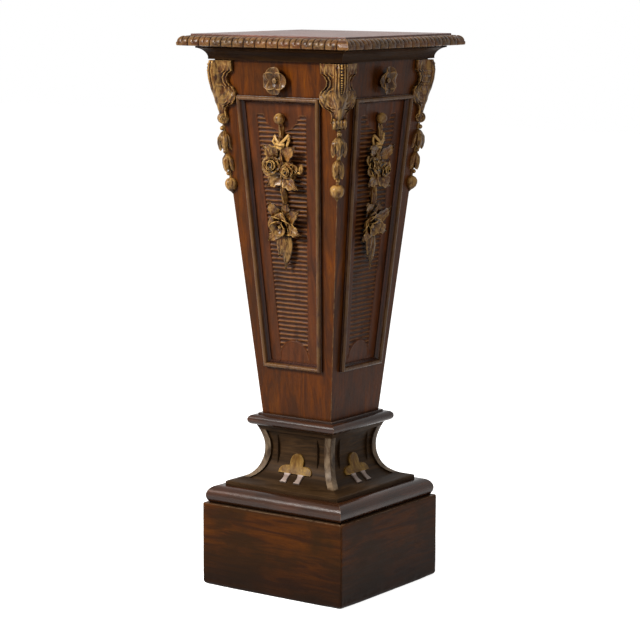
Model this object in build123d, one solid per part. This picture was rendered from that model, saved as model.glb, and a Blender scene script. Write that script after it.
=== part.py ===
from build123d import *
import math
import os

os.makedirs("parts", exist_ok=True)

# All sizes are millimetres.
# The origin is the middle of the footprint on the floor, Z is up and the front face looks along -Y.
# Half widths are measured from the centre line to a face of the square plan.

# Overall sizes
table_height = 1140.0
edge_half = 211.0
plinth_half = 176.0

# Gaps left for glue between neighbouring pieces
glue_line = 0.1
mitre_gap = 0.05
drop_in = 0.3

# Base, stacked up from the floor
plinth_top = 173.0
plinth_wall = 20.0
plinth_foot_round = 5.0
base_deck_thick = 22.0
block_leg = 55.0
block_foot = 12.0
torus_top = plinth_top + 36.0
torus_half = plinth_half - 5.0
torus_radius = 20.5
torus_inner = torus_half - 53.0
scotia_top = torus_top + 127.0
scotia_fillet_half = torus_half - 29.5
scotia_fillet_top = torus_top + 8.0
waist_half = 83.2
scotia_inner = waist_half - 33.0
shaft_foot = scotia_top + 24.0
neck_half = waist_half + 26.3
neck_bead_radius = 10.0
neck_fillet_half = waist_half + 9.8
neck_deck_half = waist_half - 23.0

# Hollow of the scotia, as shares of its throw outwards and of its height
scotia_shares = [
    (0.966, 0.011),
    (0.623, 0.059),
    (0.346, 0.139),
    (0.160, 0.252),
    (0.039, 0.412),
    (0.000, 0.571),
    (0.024, 0.723),
    (0.117, 0.882),
    (0.225, 1.000),
]

# Sunk field and raised trefoil on each scotia board
field_depth = 4.0
field_margin = 16.0
field_foot = scotia_fillet_top + 7.0
field_head = scotia_top - 10.0
trefoil_foot = scotia_fillet_top + 25.0
trefoil_height = 45.0
trefoil_lobe_half = 19.5
trefoil_side_half = 41.0
trefoil_side_height = 15.0
trefoil_leg_height = 14.0
trefoil_leg_inner = 11.0
trefoil_leg_outer = 26.0
trefoil_leg_taper = 2.5

# Top, stacked down from the top board
board_foot = table_height - 24.0
board_half = edge_half - 23.0
board_lip = 1.8
board_lip_thick = 4.0
board_round = 1.2
edge_radius = 13.7
edge_lift = 6.5
edge_step = 2.0
edge_step_width = 4.5
edge_arris = 1.5
lobes_per_side = 15
lobe_cut_depth = 2.4
lobe_cut_width = 2.0
cove_foot = board_foot - 27.0
cove_head_half = board_half - 4.5
cove_head_height = 4.5
cove_fillet_half = cove_head_half - 18.2
cove_fillet_height = 4.5
cleat_thick = 24.0

# Tapering shaft
shaft_wall = 18.0
shaft_foot_half = waist_half + 3.0
shaft_top_half = cove_fillet_half - 9.7
shaft_slope = (shaft_top_half - shaft_foot_half) / (cove_foot - shaft_foot)
face_length = math.sqrt(1.0 + shaft_slope**2)


def shaft_half(height):
    """Half width of the shaft at a height."""
    return shaft_foot_half + shaft_slope * (height - shaft_foot)


def along_face(height):
    """Distance up the sloping shaft face from its foot to a height."""
    return (height - shaft_foot) * face_length


# Panel opening, frame moulding and reeded panel
frame_top = cove_foot - 71.0
frame_foot = shaft_foot + 101.0
frame_top_half = shaft_half(frame_top) - 46.3
frame_foot_half = shaft_half(frame_foot) - 24.3
frame_seat = 9.5
frame_height = 10.0
frame_lip = 4.0
frame_lip_thick = 2.0
rebate = 6.0
panel_sink = 5.0
panel_thick = 11.0
reed_first = frame_foot + 28.0
reed_last = frame_top - 34.0
reed_pitch = 9.2
reed_crest_drop = 0.4
reed_cut_depth = 3.4
reed_margin = 38.5
scoop_height = frame_top - 24.0
scoop_radius = 46.0
arch_height = frame_foot + 22.0
arch_radius = 36.0
arch_rim = 2.6
arch_rim_lift = 1.2

# Rosette on the frieze
rosette_height = cove_foot - 37.0
rosette_radius = 27.5
rosette_rise = 16.5
rosette_button = 5.5

# Corner console, its nose given as shares of its height and as stand-off from the corner
console_top = cove_foot - 2.0
console_drop = 118.0
scroll_height = console_top - console_drop
nose_shares = [
    (0.000, 7.1),
    (0.076, 10.3),
    (0.195, 12.3),
    (0.314, 12.5),
    (0.483, 11.1),
    (0.686, 8.2),
    (0.822, 5.5),
    (0.907, 4.2),
]
nose_half = 6.5
shoulder_half = 11.5
shoulder_inset = 3.5
cheek_half = 16.0
cheek_inset = 8.5
scroll_stand = 7.3
scroll_radius = 11.5
scroll_half = 17.0
wing_thick = 8.0
wing_outer = shaft_half(console_top) - 45.3
wing_inner = shaft_half(console_top) - 16.3
wing_step = 2.0
notch_top = console_top - 0.170 * console_drop
notch_foot = console_top - 0.424 * console_drop
notch_depth = 13.5
lobe_reach = shaft_half(console_top) - 51.8
lobe_foot = console_top - 0.763 * console_drop
stem_edge = shaft_half(scroll_height) - 20.1

# Husk pendant, each form as rings of radius and drop below the scroll
cord_radius = 3.2
cord_top = 13.5
pendant_drop = 154.0
husk_upper = [(3.2, 27.0), (9.5, 29.5), (14.2, 38.0), (15.8, 52.0), (15.0, 62.5)]
husk_middle = [(3.2, 72.0), (8.5, 74.5), (13.0, 83.0), (14.0, 94.0), (12.6, 105.5)]
bud_rings = [(3.2, 120.0), (11.0, 123.5), (14.6, 133.0), (11.0, 145.5), (3.2, 152.0)]
husk_sides = 10
husk_split_angle = 36.0
husk_split_half = 3.6
husk_split_height = 12.0
bead_drops = [20.0, 67.5, 112.0]
bead_radius = 4.6
bead_stand = 2.6
bead_sides = 6

# Flower drop, its forms placed across the panel and down from the ball
ball_height = frame_top - 44.0
ball_rings = [(5.6, -9.8), (11.3, 0.0), (9.8, 5.6), (5.6, 9.8)]
ball_sides = 12
ball_lift = 7.0
stem_rise = 5.0
stem_rings = [(5.0, 4.6), (34.0, 4.2), (69.0, 4.4), (114.0, 5.6), (174.0, 5.2), (214.0, 5.0)]
bow_drop = 45.0
tie_drops = [56.0, 60.5]
leaf_table = [
    (-8.0, 74.0, 148.0, 34.0, 24.0, 8.0),
    (4.0, 76.0, 26.0, 42.0, 26.0, 9.0),
    (-6.0, 112.0, 218.0, 42.0, 26.0, 9.0),
    (4.0, 116.0, -38.0, 46.0, 28.0, 9.0),
    (30.0, 98.0, 8.0, 27.0, 17.0, 11.0),
    (-8.0, 198.0, 130.0, 40.0, 27.0, 10.0),
    (2.0, 198.0, 62.0, 36.0, 27.0, 11.0),
    (10.0, 206.0, 14.0, 43.0, 24.0, 10.0),
    (8.0, 217.0, -32.0, 38.0, 24.0, 10.0),
    (-18.0, 226.0, 228.0, 30.0, 15.0, 8.0),
    (-6.0, 226.0, 257.0, 58.0, 26.0, 11.0),
    (5.0, 226.0, 268.0, 81.0, 25.0, 11.0),
]
bloom_table = [
    (-22.0, 95.0, 21.0, 16.0, (0, -16, 0), 20, 5),
    (18.0, 105.0, 17.0, 20.0, (0, 8, 0), 50, 5),
    (-9.0, 216.0, 25.0, 17.0, (14, 6, 0), 10, 6),
]

sides = ["front", "right", "back", "left"]
corners = ["front_right", "back_right", "back_left", "front_left"]
reach = plinth_half + 90.0
root_two = math.sqrt(2)

front_face = Plane(
    origin=(0, -shaft_foot_half, shaft_foot),
    x_dir=(1, 0, 0),
    z_dir=(0, -1, -shaft_slope),
)
diagonal = Plane(
    origin=(0, 0, 0),
    x_dir=(1, -1, 0),
    z_dir=(-1, -1, 0),
)


def at(half, height):
    """Point of a front moulding section."""
    return (-half, height)


def front_bar(outline):
    """Front piece with its ends cut at the mitres, from an outline of half width and height."""
    section = Plane.YZ * make_face(outline)
    return extrude(section, amount=reach, both=True) & wedge(mitre_gap, 0, table_height + 1)


def wedge(inset, low, high):
    """Quarter of the square plan in front of both diagonals, held back from them."""
    outline = Polyline((0, -inset), (-reach, -inset - reach), (reach, -inset - reach), close=True)
    return extrude(Plane.XY.offset(low) * make_face(outline), amount=high - low)


def slab(points, low, high):
    """Flat board between two levels."""
    return extrude(Plane.XY.offset(low) * make_face(Polyline(*points, close=True)), amount=high - low)


def on_face(shape):
    """Put a shape drawn flat, with the shaft face at level zero, on the front of the shaft."""
    return front_face.location * shape


def standing_box(half, low, high):
    """Square board centred on the table between two heights."""
    return Pos(0, 0, low) * Box(2 * half, 2 * half, high - low, align=(Align.CENTER, Align.CENTER, Align.MIN))


def save(shape, name):
    """Label a piece and write it as one STEP file."""
    shape.label = name
    export_step(shape, "parts/" + name + ".step")


def save_round(shape, name, suffixes):
    """Write a piece and its three quarter turns about the centre line."""
    for turn, suffix in enumerate(suffixes):
        save(Rot(0, 0, 90 * turn) * shape, name + "_" + suffix)


def solid_core(low, high, gap):
    """The tapering shaft as a plain solid, grown by a gap."""
    core = standing_box(reach, low, high)
    for turn in range(4):
        cut = Rot(0, 0, 90 * turn) * front_face.location * Pos(0, 0, gap)
        core = split(core, bisect_by=Plane(cut), keep=Keep.BOTTOM)
    return core


# Plinth boards with worn lower edges
plinth_inner = plinth_half - plinth_wall
round_start = plinth_half - plinth_foot_round
plinth_outline = [
    Line(at(plinth_inner, 0), at(round_start, 0)),
    RadiusArc(at(round_start, 0), at(plinth_half, plinth_foot_round), plinth_foot_round),
    Line(at(plinth_half, plinth_foot_round), at(plinth_half, plinth_top)),
    Line(at(plinth_half, plinth_top), at(plinth_inner, plinth_top)),
    Line(at(plinth_inner, plinth_top), at(plinth_inner, 0)),
]
save_round(front_bar(plinth_outline), "plinth_board", sides)

# Deck inside the plinth and the glue blocks under it
deck_foot = plinth_top - base_deck_thick
save(standing_box(plinth_inner - drop_in, deck_foot, plinth_top - glue_line), "base_deck")
block_corner = plinth_inner - glue_line * 2
block_outline = [
    (block_corner, -block_corner),
    (block_corner, -block_corner + block_leg),
    (block_corner - block_leg, -block_corner),
]
block = slab(block_outline, block_foot, deck_foot - glue_line)
save(Compound([Rot(0, 0, 90 * turn) * block for turn in range(4)]), "plinth_glue_blocks")

# Torus moulding
torus_centre = torus_half - torus_radius
torus_middle = torus_top - torus_radius
torus_tuck = math.sqrt(torus_radius**2 - (torus_middle - plinth_top) ** 2)
torus_outline = [
    Line(at(torus_inner, plinth_top), at(torus_centre + torus_tuck, plinth_top)),
    ThreePointArc(
        at(torus_centre + torus_tuck, plinth_top),
        at(torus_half, torus_middle),
        at(torus_centre, torus_top),
    ),
    Line(at(torus_centre, torus_top), at(torus_inner, torus_top)),
    Line(at(torus_inner, torus_top), at(torus_inner, plinth_top)),
]
save_round(front_bar(torus_outline), "torus_moulding", sides)

# Scotia boards
scotia_throw = scotia_fillet_half - waist_half
scotia_rise = scotia_top - scotia_fillet_top
scotia_points = []
for out, up in scotia_shares:
    scotia_points.append(at(waist_half + out * scotia_throw, scotia_fillet_top + up * scotia_rise))
scotia_outline = [
    Line(at(scotia_inner, torus_top), at(scotia_fillet_half, torus_top)),
    Line(at(scotia_fillet_half, torus_top), at(scotia_fillet_half, scotia_fillet_top)),
    Line(at(scotia_fillet_half, scotia_fillet_top), scotia_points[0]),
    Spline(*scotia_points),
    Line(scotia_points[-1], at(scotia_inner, scotia_top)),
    Line(at(scotia_inner, scotia_top), at(scotia_inner, torus_top)),
]
sunk_points = [(out + field_depth, height) for out, height in scotia_points[1:-1]]
sunk_outline = [
    Line(at(reach, field_foot), sunk_points[0]),
    Spline(*sunk_points),
    Line(sunk_points[-1], at(reach, field_head)),
    Line(at(reach, field_head), at(reach, field_foot)),
]
sunk_band = extrude(Plane.YZ * make_face(sunk_outline), amount=reach, both=True)
sunk_room = wedge(field_margin, field_foot, field_head)


def trefoil_half():
    """Right half of the trefoil outline, from the middle of its foot round to its crown."""
    foot = trefoil_foot
    leg_foot = foot - trefoil_leg_height
    leg_in = trefoil_leg_inner
    leg_out = trefoil_leg_outer
    shoulder = foot + trefoil_side_height
    crown = foot + trefoil_height
    return [
        Line((0, foot), (leg_in - 2.0, foot)),
        ThreePointArc((leg_in - 2.0, foot), (leg_in, foot - 7.0), (leg_in + trefoil_leg_taper, leg_foot)),
        Line((leg_in + trefoil_leg_taper, leg_foot), (leg_out - trefoil_leg_taper, leg_foot)),
        Line((leg_out - trefoil_leg_taper, leg_foot), (leg_out, foot)),
        Line((leg_out, foot), (trefoil_side_half, foot)),
        ThreePointArc(
            (trefoil_side_half, foot),
            (trefoil_side_half - 8.0, foot + 11.0),
            (trefoil_lobe_half, shoulder),
        ),
        ThreePointArc((trefoil_lobe_half, shoulder), (trefoil_lobe_half - 5.5, crown - 12.0), (0, crown)),
        Line((0, crown), (0, foot)),
    ]


trefoil_side = extrude(Plane.XZ * make_face(trefoil_half()), amount=reach)
trefoil = trefoil_side + mirror(trefoil_side, about=Plane.YZ)
scotia_board = front_bar(scotia_outline) - ((sunk_band & sunk_room) - trefoil)
save_round(scotia_board, "scotia_board", sides)

# Neck moulding and the deck inside it
neck_bead_centre = neck_half - neck_bead_radius
neck_bead_top = scotia_top + 2 * neck_bead_radius
neck_inner = neck_deck_half + drop_in
neck_outline = [
    Line(at(neck_inner, scotia_top), at(neck_bead_centre, scotia_top)),
    ThreePointArc(
        at(neck_bead_centre, scotia_top),
        at(neck_half, scotia_top + neck_bead_radius),
        at(neck_bead_centre, neck_bead_top),
    ),
    Line(at(neck_bead_centre, neck_bead_top), at(neck_fillet_half, neck_bead_top)),
    Line(at(neck_fillet_half, neck_bead_top), at(neck_fillet_half, shaft_foot)),
    Line(at(neck_fillet_half, shaft_foot), at(neck_inner, shaft_foot)),
    Line(at(neck_inner, shaft_foot), at(neck_inner, scotia_top)),
]
save_round(front_bar(neck_outline), "neck_moulding", sides)
save(standing_box(neck_deck_half, scotia_top, shaft_foot), "neck_deck")

# Panel opening drawn flat on the shaft face
opening_top = along_face(frame_top)
opening_foot = along_face(frame_foot)
opening_rise = (frame_top_half - frame_foot_half) / (opening_top - opening_foot)
side_stretch = math.sqrt(1 + opening_rise**2)


def opening_half(level, inset):
    """Half width of the tapering opening at a distance up the face."""
    return frame_foot_half + opening_rise * (level - opening_foot) - inset * side_stretch


def opening(inset):
    """Corners of the tapering opening, anticlockwise from the lower left."""
    top = opening_top - inset
    foot = opening_foot + inset
    top_half = opening_half(top, inset)
    foot_half = opening_half(foot, inset)
    return [(-foot_half, foot), (foot_half, foot), (top_half, top), (-top_half, top)]


# Shaft boards, each with a window and a rebate behind it for the panel
shaft_run = shaft_wall * face_length
shaft_outline = Polyline(
    at(shaft_half(shaft_foot), shaft_foot),
    at(shaft_half(board_foot), board_foot),
    at(shaft_half(board_foot) - shaft_run, board_foot),
    at(shaft_half(shaft_foot) - shaft_run, shaft_foot),
    close=True,
)
window = slab(opening(frame_seat + glue_line), -shaft_wall - 1, 1)
rebate_room = slab(opening(frame_seat - rebate), -shaft_wall - 1, -panel_sink)
shaft_board = front_bar(shaft_outline) - on_face(window + rebate_room)
save_round(shaft_board, "shaft_board", sides)

# Reeded panels with a plain scoop at the top and a rimmed arch at the foot
panel_face = -panel_sink - glue_line
panel = slab(opening(frame_seat - rebate + drop_in), panel_face - panel_thick, panel_face)
scoop = Pos(0, along_face(scoop_height), panel_face) * Cylinder(scoop_radius, panel_thick)
arch = Pos(0, along_face(arch_height), panel_face) * Cylinder(arch_radius, panel_thick)
reed_count = int((reed_last - reed_first) / reed_pitch) + 1
reed_start = along_face(reed_first - reed_pitch / 2)
reed_step = reed_pitch * face_length
reed_end = reed_start + reed_count * reed_step
crest = panel_face - reed_crest_drop
reed_points = [(reed_start, panel_face + 1), (reed_start, crest)]
for index in range(reed_count):
    level = reed_start + index * reed_step
    reed_points.append((level + reed_step / 2, panel_face - reed_cut_depth))
    reed_points.append((level + reed_step, crest))
reed_points.append((reed_end, panel_face + 1))
reed_section = make_face(Polyline(*reed_points, close=True))
reed_field = [
    (-opening_half(reed_start, reed_margin), reed_start),
    (opening_half(reed_start, reed_margin), reed_start),
    (opening_half(reed_end, reed_margin), reed_end),
    (-opening_half(reed_end, reed_margin), reed_end),
]
reeds = extrude(Plane.YZ * reed_section, amount=reach, both=True) & slab(reed_field, -reach, reach)
panel = panel - (reeds - scoop - arch)
arch_ring = Cylinder(arch_radius, arch_rim_lift * 2) - Cylinder(arch_radius - arch_rim, arch_rim_lift * 3)
arch_room = Pos(0, arch_radius, 0) * Box(arch_radius * 2.2, arch_radius * 2, arch_rim_lift * 4)
panel = panel + Pos(0, along_face(arch_height), panel_face) * (arch_ring & arch_room)
save_round(on_face(panel), "reeded_panel", sides)

# Bolection frame round each panel, four mitred strips
bead_start = 1.2
bead_crown = 4.6
bead_end = 8.4
lip_inner = frame_seat + frame_lip
lip_outer = frame_seat + glue_line * 2
strip_outline = [
    Line((0, glue_line), (0, frame_height * 0.30)),
    Line((0, frame_height * 0.30), (bead_start, frame_height * 0.36)),
    ThreePointArc(
        (bead_start, frame_height * 0.36),
        (bead_crown, frame_height),
        (bead_end, frame_height * 0.42),
    ),
    Line((bead_end, frame_height * 0.42), (frame_seat, frame_height * 0.20)),
    Line((frame_seat, frame_height * 0.20), (lip_inner, frame_lip_thick - panel_sink)),
    Line((lip_inner, frame_lip_thick - panel_sink), (lip_inner, -panel_sink)),
    Line((lip_inner, -panel_sink), (lip_outer, -panel_sink)),
    Line((lip_outer, -panel_sink), (lip_outer, glue_line)),
    Line((lip_outer, glue_line), (0, glue_line)),
]
strip_face = make_face(strip_outline)
outer_corners = [Vector(u, v, 0) for u, v in opening(0)]
inner_corners = [Vector(u, v, 0) for u, v in opening(frame_seat * 2)]
outward = Vector(0, 0, 1)
overrun = frame_seat * 3
strips = []
for index in range(4):
    start = outer_corners[index]
    end = outer_corners[(index + 1) % 4]
    run = (end - start).normalized()
    section_plane = Plane(origin=start - run * overrun, x_dir=outward.cross(run), z_dir=run)
    strip = extrude(section_plane * strip_face, amount=(end - start).length + 2 * overrun)
    start_side = (inner_corners[index] - start).normalized().cross(outward)
    end_side = (inner_corners[(index + 1) % 4] - end).normalized().cross(outward) * -1
    for corner, side in [(start, start_side), (end, end_side)]:
        mitre = Plane(origin=corner + side * mitre_gap, z_dir=side)
        strip = split(strip, bisect_by=mitre, keep=Keep.TOP)
    strips.append(on_face(strip))
save_round(Compound(strips), "panel_frame", sides)

# Cove moulding and the cleat board inside the shaft
cove_back_foot = shaft_half(cove_foot) + glue_line
cove_back_top = shaft_half(board_foot) + glue_line
hollow_foot = cove_foot + cove_fillet_height
hollow_top = board_foot - cove_head_height
cove_throw = cove_head_half - cove_fillet_half
cove_rise = hollow_top - hollow_foot
cove_outline = [
    Line(at(cove_back_foot, cove_foot), at(cove_fillet_half, cove_foot)),
    Line(at(cove_fillet_half, cove_foot), at(cove_fillet_half, hollow_foot)),
    ThreePointArc(
        at(cove_fillet_half, hollow_foot),
        at(cove_fillet_half + cove_throw * 0.31, hollow_foot + cove_rise * 0.63),
        at(cove_head_half - cove_throw * 0.04, hollow_top),
    ),
    Line(at(cove_head_half - cove_throw * 0.04, hollow_top), at(cove_head_half, hollow_top)),
    Line(at(cove_head_half, hollow_top), at(cove_head_half, board_foot)),
    Line(at(cove_head_half, board_foot), at(cove_back_top, board_foot)),
    Line(at(cove_back_top, board_foot), at(cove_back_foot, cove_foot)),
]
save_round(front_bar(cove_outline), "cove_moulding", sides)
cleat_foot = board_foot - cleat_thick
cleat_half = shaft_half(cleat_foot) - shaft_run - drop_in
save(standing_box(cleat_half, cleat_foot, board_foot), "top_cleat_board")

# Top board with a thin lip over its edge moulding
lip_foot = table_height - board_lip_thick
lip = standing_box(board_half + board_lip, lip_foot, table_height)
lip = fillet(lip.edges().group_by(Axis.Z)[-1], board_round)
save(standing_box(board_half, board_foot, lip_foot) + lip, "top_board")

# Gadrooned edge moulding
edge_inner = board_half + glue_line
edge_centre = edge_half - edge_radius
edge_middle = board_foot + edge_lift
edge_crown = edge_middle + edge_radius
edge_seat_top = lip_foot - edge_step
step_half = edge_inner + edge_step_width
round_share = edge_radius * math.sqrt(0.5)
edge_outline = [
    Line(at(edge_inner, board_foot), at(edge_half - edge_arris, board_foot)),
    Line(at(edge_half - edge_arris, board_foot), at(edge_half, board_foot + edge_arris)),
    Line(at(edge_half, board_foot + edge_arris), at(edge_half, edge_middle)),
    ThreePointArc(
        at(edge_half, edge_middle),
        at(edge_centre + round_share, edge_middle + round_share),
        at(edge_centre, edge_crown),
    ),
    Line(at(edge_centre, edge_crown), at(step_half, edge_crown)),
    Line(at(step_half, edge_crown), at(step_half, edge_seat_top)),
    Line(at(step_half, edge_seat_top), at(edge_inner, edge_seat_top)),
    Line(at(edge_inner, edge_seat_top), at(edge_inner, board_foot)),
]
slot_outline = Polyline(
    at(edge_half - lobe_cut_depth, board_foot - 1),
    at(edge_half - lobe_cut_depth, edge_middle + lobe_cut_depth),
    at(edge_centre + lobe_cut_depth, edge_crown - lobe_cut_depth),
    at(step_half + 1, edge_crown - lobe_cut_depth),
    at(step_half + 1, table_height),
    at(edge_half + 1, table_height),
    at(edge_half + 1, board_foot - 1),
    close=True,
)
slot = extrude(Plane.YZ * make_face(slot_outline), amount=lobe_cut_width / 2, both=True)
lobe_pitch = 2 * edge_half / lobes_per_side
slots = [Pos(index * lobe_pitch - edge_half, 0, 0) * slot for index in range(1, lobes_per_side)]
save_round(front_bar(edge_outline) - slots, "top_edge", sides)


# Carved flowers are lofted through scalloped outlines, one for each level
def scallops(radius, petals, notch_share, level, turn):
    """Outline of petals at one level, with a notch between each pair."""
    points = []
    step = 360 / petals
    for index in range(petals):
        for angle, share in [(-0.26, 1.0), (0.26, 1.0), (0.5, notch_share)]:
            direction = math.radians(turn + (index + angle) * step)
            out = radius * share
            points.append((out * math.cos(direction), out * math.sin(direction), level))
    return make_face(Polyline(*points, close=True))


def flower(radius, rise, petals, turn, levels):
    """Carved flower lofted through its levels, each a share of radius, of rise and a notch depth."""
    outlines = []
    for share, lift, notch_share in levels:
        outlines.append(scallops(radius * share, petals, notch_share, rise * lift, turn))
    return loft(outlines, ruled=True)


# Rosette, a cupped flower of four petals with a button
cup_levels = [
    (0.40, 0.01, 0.80),
    (0.88, 0.46, 0.62),
    (1.00, 0.84, 0.50),
    (0.93, 1.00, 0.48),
    (0.50, 0.62, 0.62),
]
rosette = flower(rosette_radius, rosette_rise, 4, 90, cup_levels)
button = Pos(0, 0, rosette_rise * 0.55) * Cylinder(rosette_button, rosette_button)
rosette = rosette + chamfer(button.edges().group_by(Axis.Z)[-1], rosette_button * 0.3)
save_round(on_face(Pos(0, along_face(rosette_height), 0) * rosette), "rosette", sides)

# Corner console, a scrolled bracket wrapped round the corner of the shaft
pendant_foot = scroll_height - pendant_drop
core = solid_core(pendant_foot - 10, cove_foot, glue_line)
scroll_corner = shaft_half(scroll_height) * root_two


def nose_layer(inset, half_width):
    """One layer of the console nose, pulled in behind the one before it."""
    points = []
    for share, stand in nose_shares:
        height = console_top - share * console_drop
        points.append(((shaft_half(height) + stand) * root_two - inset, height))
    back = scroll_corner - 40.0
    edges = [
        Polyline(*points),
        Line(points[-1], (back, points[-1][1])),
        Line((back, points[-1][1]), (back, console_top)),
        Line((back, console_top), points[0]),
    ]
    return extrude(diagonal * make_face(edges), amount=half_width, both=True)


scroll_middle = scroll_corner + scroll_stand * root_two - scroll_radius
scroll_place = diagonal.location * Pos(scroll_middle, scroll_height, 0)
neck_root = scroll_corner - 11.0
scroll_neck_points = [
    (neck_root, scroll_height - scroll_radius * 0.7),
    (scroll_middle, scroll_height - scroll_radius * 0.9),
    (scroll_middle + 2, scroll_height + scroll_radius * 0.9),
    (neck_root, scroll_height + scroll_radius * 2),
]
wing_top = along_face(console_top)
wing_end = along_face(scroll_height)
wing_step_half = wing_outer + wing_step
notch_middle = along_face((notch_top + notch_foot) / 2)
lobe_middle = along_face((notch_foot + lobe_foot) / 2)
stem_start = (stem_edge - 3.0, along_face(lobe_foot + 5.0))
wing_edges = [
    Line((wing_inner, wing_end), (wing_inner, wing_top)),
    Line((wing_inner, wing_top), (wing_outer, wing_top)),
    Line((wing_outer, wing_top), (wing_outer, along_face(notch_top))),
    ThreePointArc(
        (wing_outer, along_face(notch_top)),
        (wing_outer + notch_depth, notch_middle),
        (wing_step_half, along_face(notch_foot)),
    ),
    ThreePointArc(
        (wing_step_half, along_face(notch_foot)),
        (lobe_reach, lobe_middle),
        (wing_step_half, along_face(lobe_foot)),
    ),
    Line((wing_step_half, along_face(lobe_foot)), stem_start),
    ThreePointArc(stem_start, (stem_edge + 1.5, along_face(lobe_foot - 12.0)), (stem_edge, wing_end)),
    ThreePointArc(
        (stem_edge, wing_end),
        (stem_edge + 6.0, along_face(scroll_height - scroll_radius) + 1.0),
        (wing_inner, wing_end),
    ),
]
front_wing = on_face(extrude(Plane.XY.offset(-4) * make_face(wing_edges), amount=wing_thick + 4))
console_pieces = [
    nose_layer(0, nose_half),
    nose_layer(shoulder_inset, shoulder_half),
    nose_layer(cheek_inset, cheek_half),
    diagonal.location * slab(scroll_neck_points, -cheek_half, cheek_half),
    scroll_place * Cylinder(scroll_radius, 2 * scroll_half),
]
console_half = front_wing - core
for piece in console_pieces:
    console_half = console_half + (split(piece, bisect_by=diagonal, keep=Keep.TOP) - core)
save_round(console_half + mirror(console_half, about=diagonal), "corner_console", corners)

# Husk pendant, a string of bead, husk and bud on the corner
pendant_axis = Plane(
    origin=(shaft_half(pendant_foot), -shaft_half(pendant_foot), pendant_foot),
    x_dir=(1, -1, -2 * shaft_slope),
    z_dir=(shaft_slope, -shaft_slope, 1),
)
corner_length = math.sqrt(1 + 2 * shaft_slope**2)


def on_string(drop):
    """Distance up the string for a drop below the scroll."""
    return (pendant_drop - drop) * corner_length


def carved_round(rings, sides_round):
    """Carved round form lofted through many-sided rings of radius and level."""
    outlines = [Plane.XY.offset(level) * RegularPolygon(radius, sides_round) for radius, level in rings]
    return loft(outlines, ruled=True)


def bead(drop):
    """Small bead standing off the corner on the string."""
    middle = on_string(drop)
    rings = [
        (bead_radius * 0.55, middle - bead_radius),
        (bead_radius, middle - bead_radius * 0.4),
        (bead_radius, middle + bead_radius * 0.4),
        (bead_radius * 0.55, middle + bead_radius),
    ]
    return Pos(bead_stand, 0, 0) * carved_round(rings, bead_sides)


def husk(curve):
    """Husk lofted through its rings, with splits up from the rim between its leaves."""
    rings = [(radius, on_string(drop)) for radius, drop in curve]
    rim_radius, rim = rings[-1]
    shape = carved_round(rings, husk_sides)
    for angle in [-husk_split_angle, husk_split_angle]:
        outline = Polyline(
            (-husk_split_half, rim - 1), (0, rim + husk_split_height), (husk_split_half, rim - 1), close=True
        )
        split_cut = extrude(Plane.YZ * make_face(outline), amount=rim_radius * 1.5)
        shape = shape - Rot(0, 0, angle) * Pos(cord_radius, 0, 0) * split_cut
    return shape


cord_base = Plane.XY.offset(1.0) * RegularPolygon(cord_radius, 6)
pendant = extrude(cord_base, amount=on_string(cord_top) - 1.0)
for curve in [husk_upper, husk_middle]:
    pendant = pendant + husk(curve)
pendant = pendant + carved_round([(radius, on_string(drop)) for radius, drop in bud_rings], husk_sides)
for drop in bead_drops:
    pendant = pendant + bead(drop)
pendant = pendant_axis.location * pendant - core
save_round(pendant, "husk_pendant", corners)

# Flower drop, a carved spray hanging from a ball
panel_level = panel_face + glue_line


def down_panel(drop):
    """Distance up the face for a drop below the ball."""
    return along_face(ball_height - drop)


def leaf(u, drop, angle, length, width, rise):
    """Broad leaf with a raised midrib, its stalk end at the given point."""
    half = width / 2
    upper = [(0, 0), (length * 0.30, half), (length * 0.62, half * 0.78), (length, 0)]
    lower = [(x, -y) for x, y in reversed(upper[1:-1])]
    eave = half * 1.3
    edge = rise * 0.35
    roof = Polyline((-eave, 0), (eave, 0), (eave, edge), (0, rise), (-eave, edge), close=True)
    ridge = extrude(Plane.YZ * make_face(roof), amount=length + 1)
    shape = slab(upper + lower, 0, rise + 1) & ridge
    return Pos(u, down_panel(drop), panel_level) * Rot(0, 0, angle) * shape


bloom_levels = [(0.80, -0.12, 0.92), (1.00, 0.58, 0.78), (0.62, 0.46, 0.90)]
heart_levels = [(0.56, 0.30, 0.90), (0.54, 0.94, 0.80), (0.26, 0.70, 0.90)]


def bloom(u, drop, radius, rise, tilt, turn, petals):
    """Rose of an open outer ring of petals round a closed heart."""
    outer = flower(radius, rise, petals, turn, bloom_levels)
    heart = flower(radius, rise, petals, turn + 180 / petals, heart_levels)
    return Pos(u, down_panel(drop), panel_level) * Rot(*tilt) * (outer + heart)


def twig(u, drop):
    """Short flat stalk from the stem out to a bloom."""
    points = [(0, drop - 8), (u, drop - 3), (u, drop + 3), (0, drop + 8)]
    return slab([(across, down_panel(down)) for across, down in points], panel_level, panel_level + stem_rise)


def stem(width_share, rise):
    """Stalk of the spray, flat backed, at a share of its full width."""
    right = [(half * width_share, down_panel(drop)) for drop, half in stem_rings]
    left = [(-u, v) for u, v in reversed(right)]
    return slab(right + left, panel_level, panel_level + rise)


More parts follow.
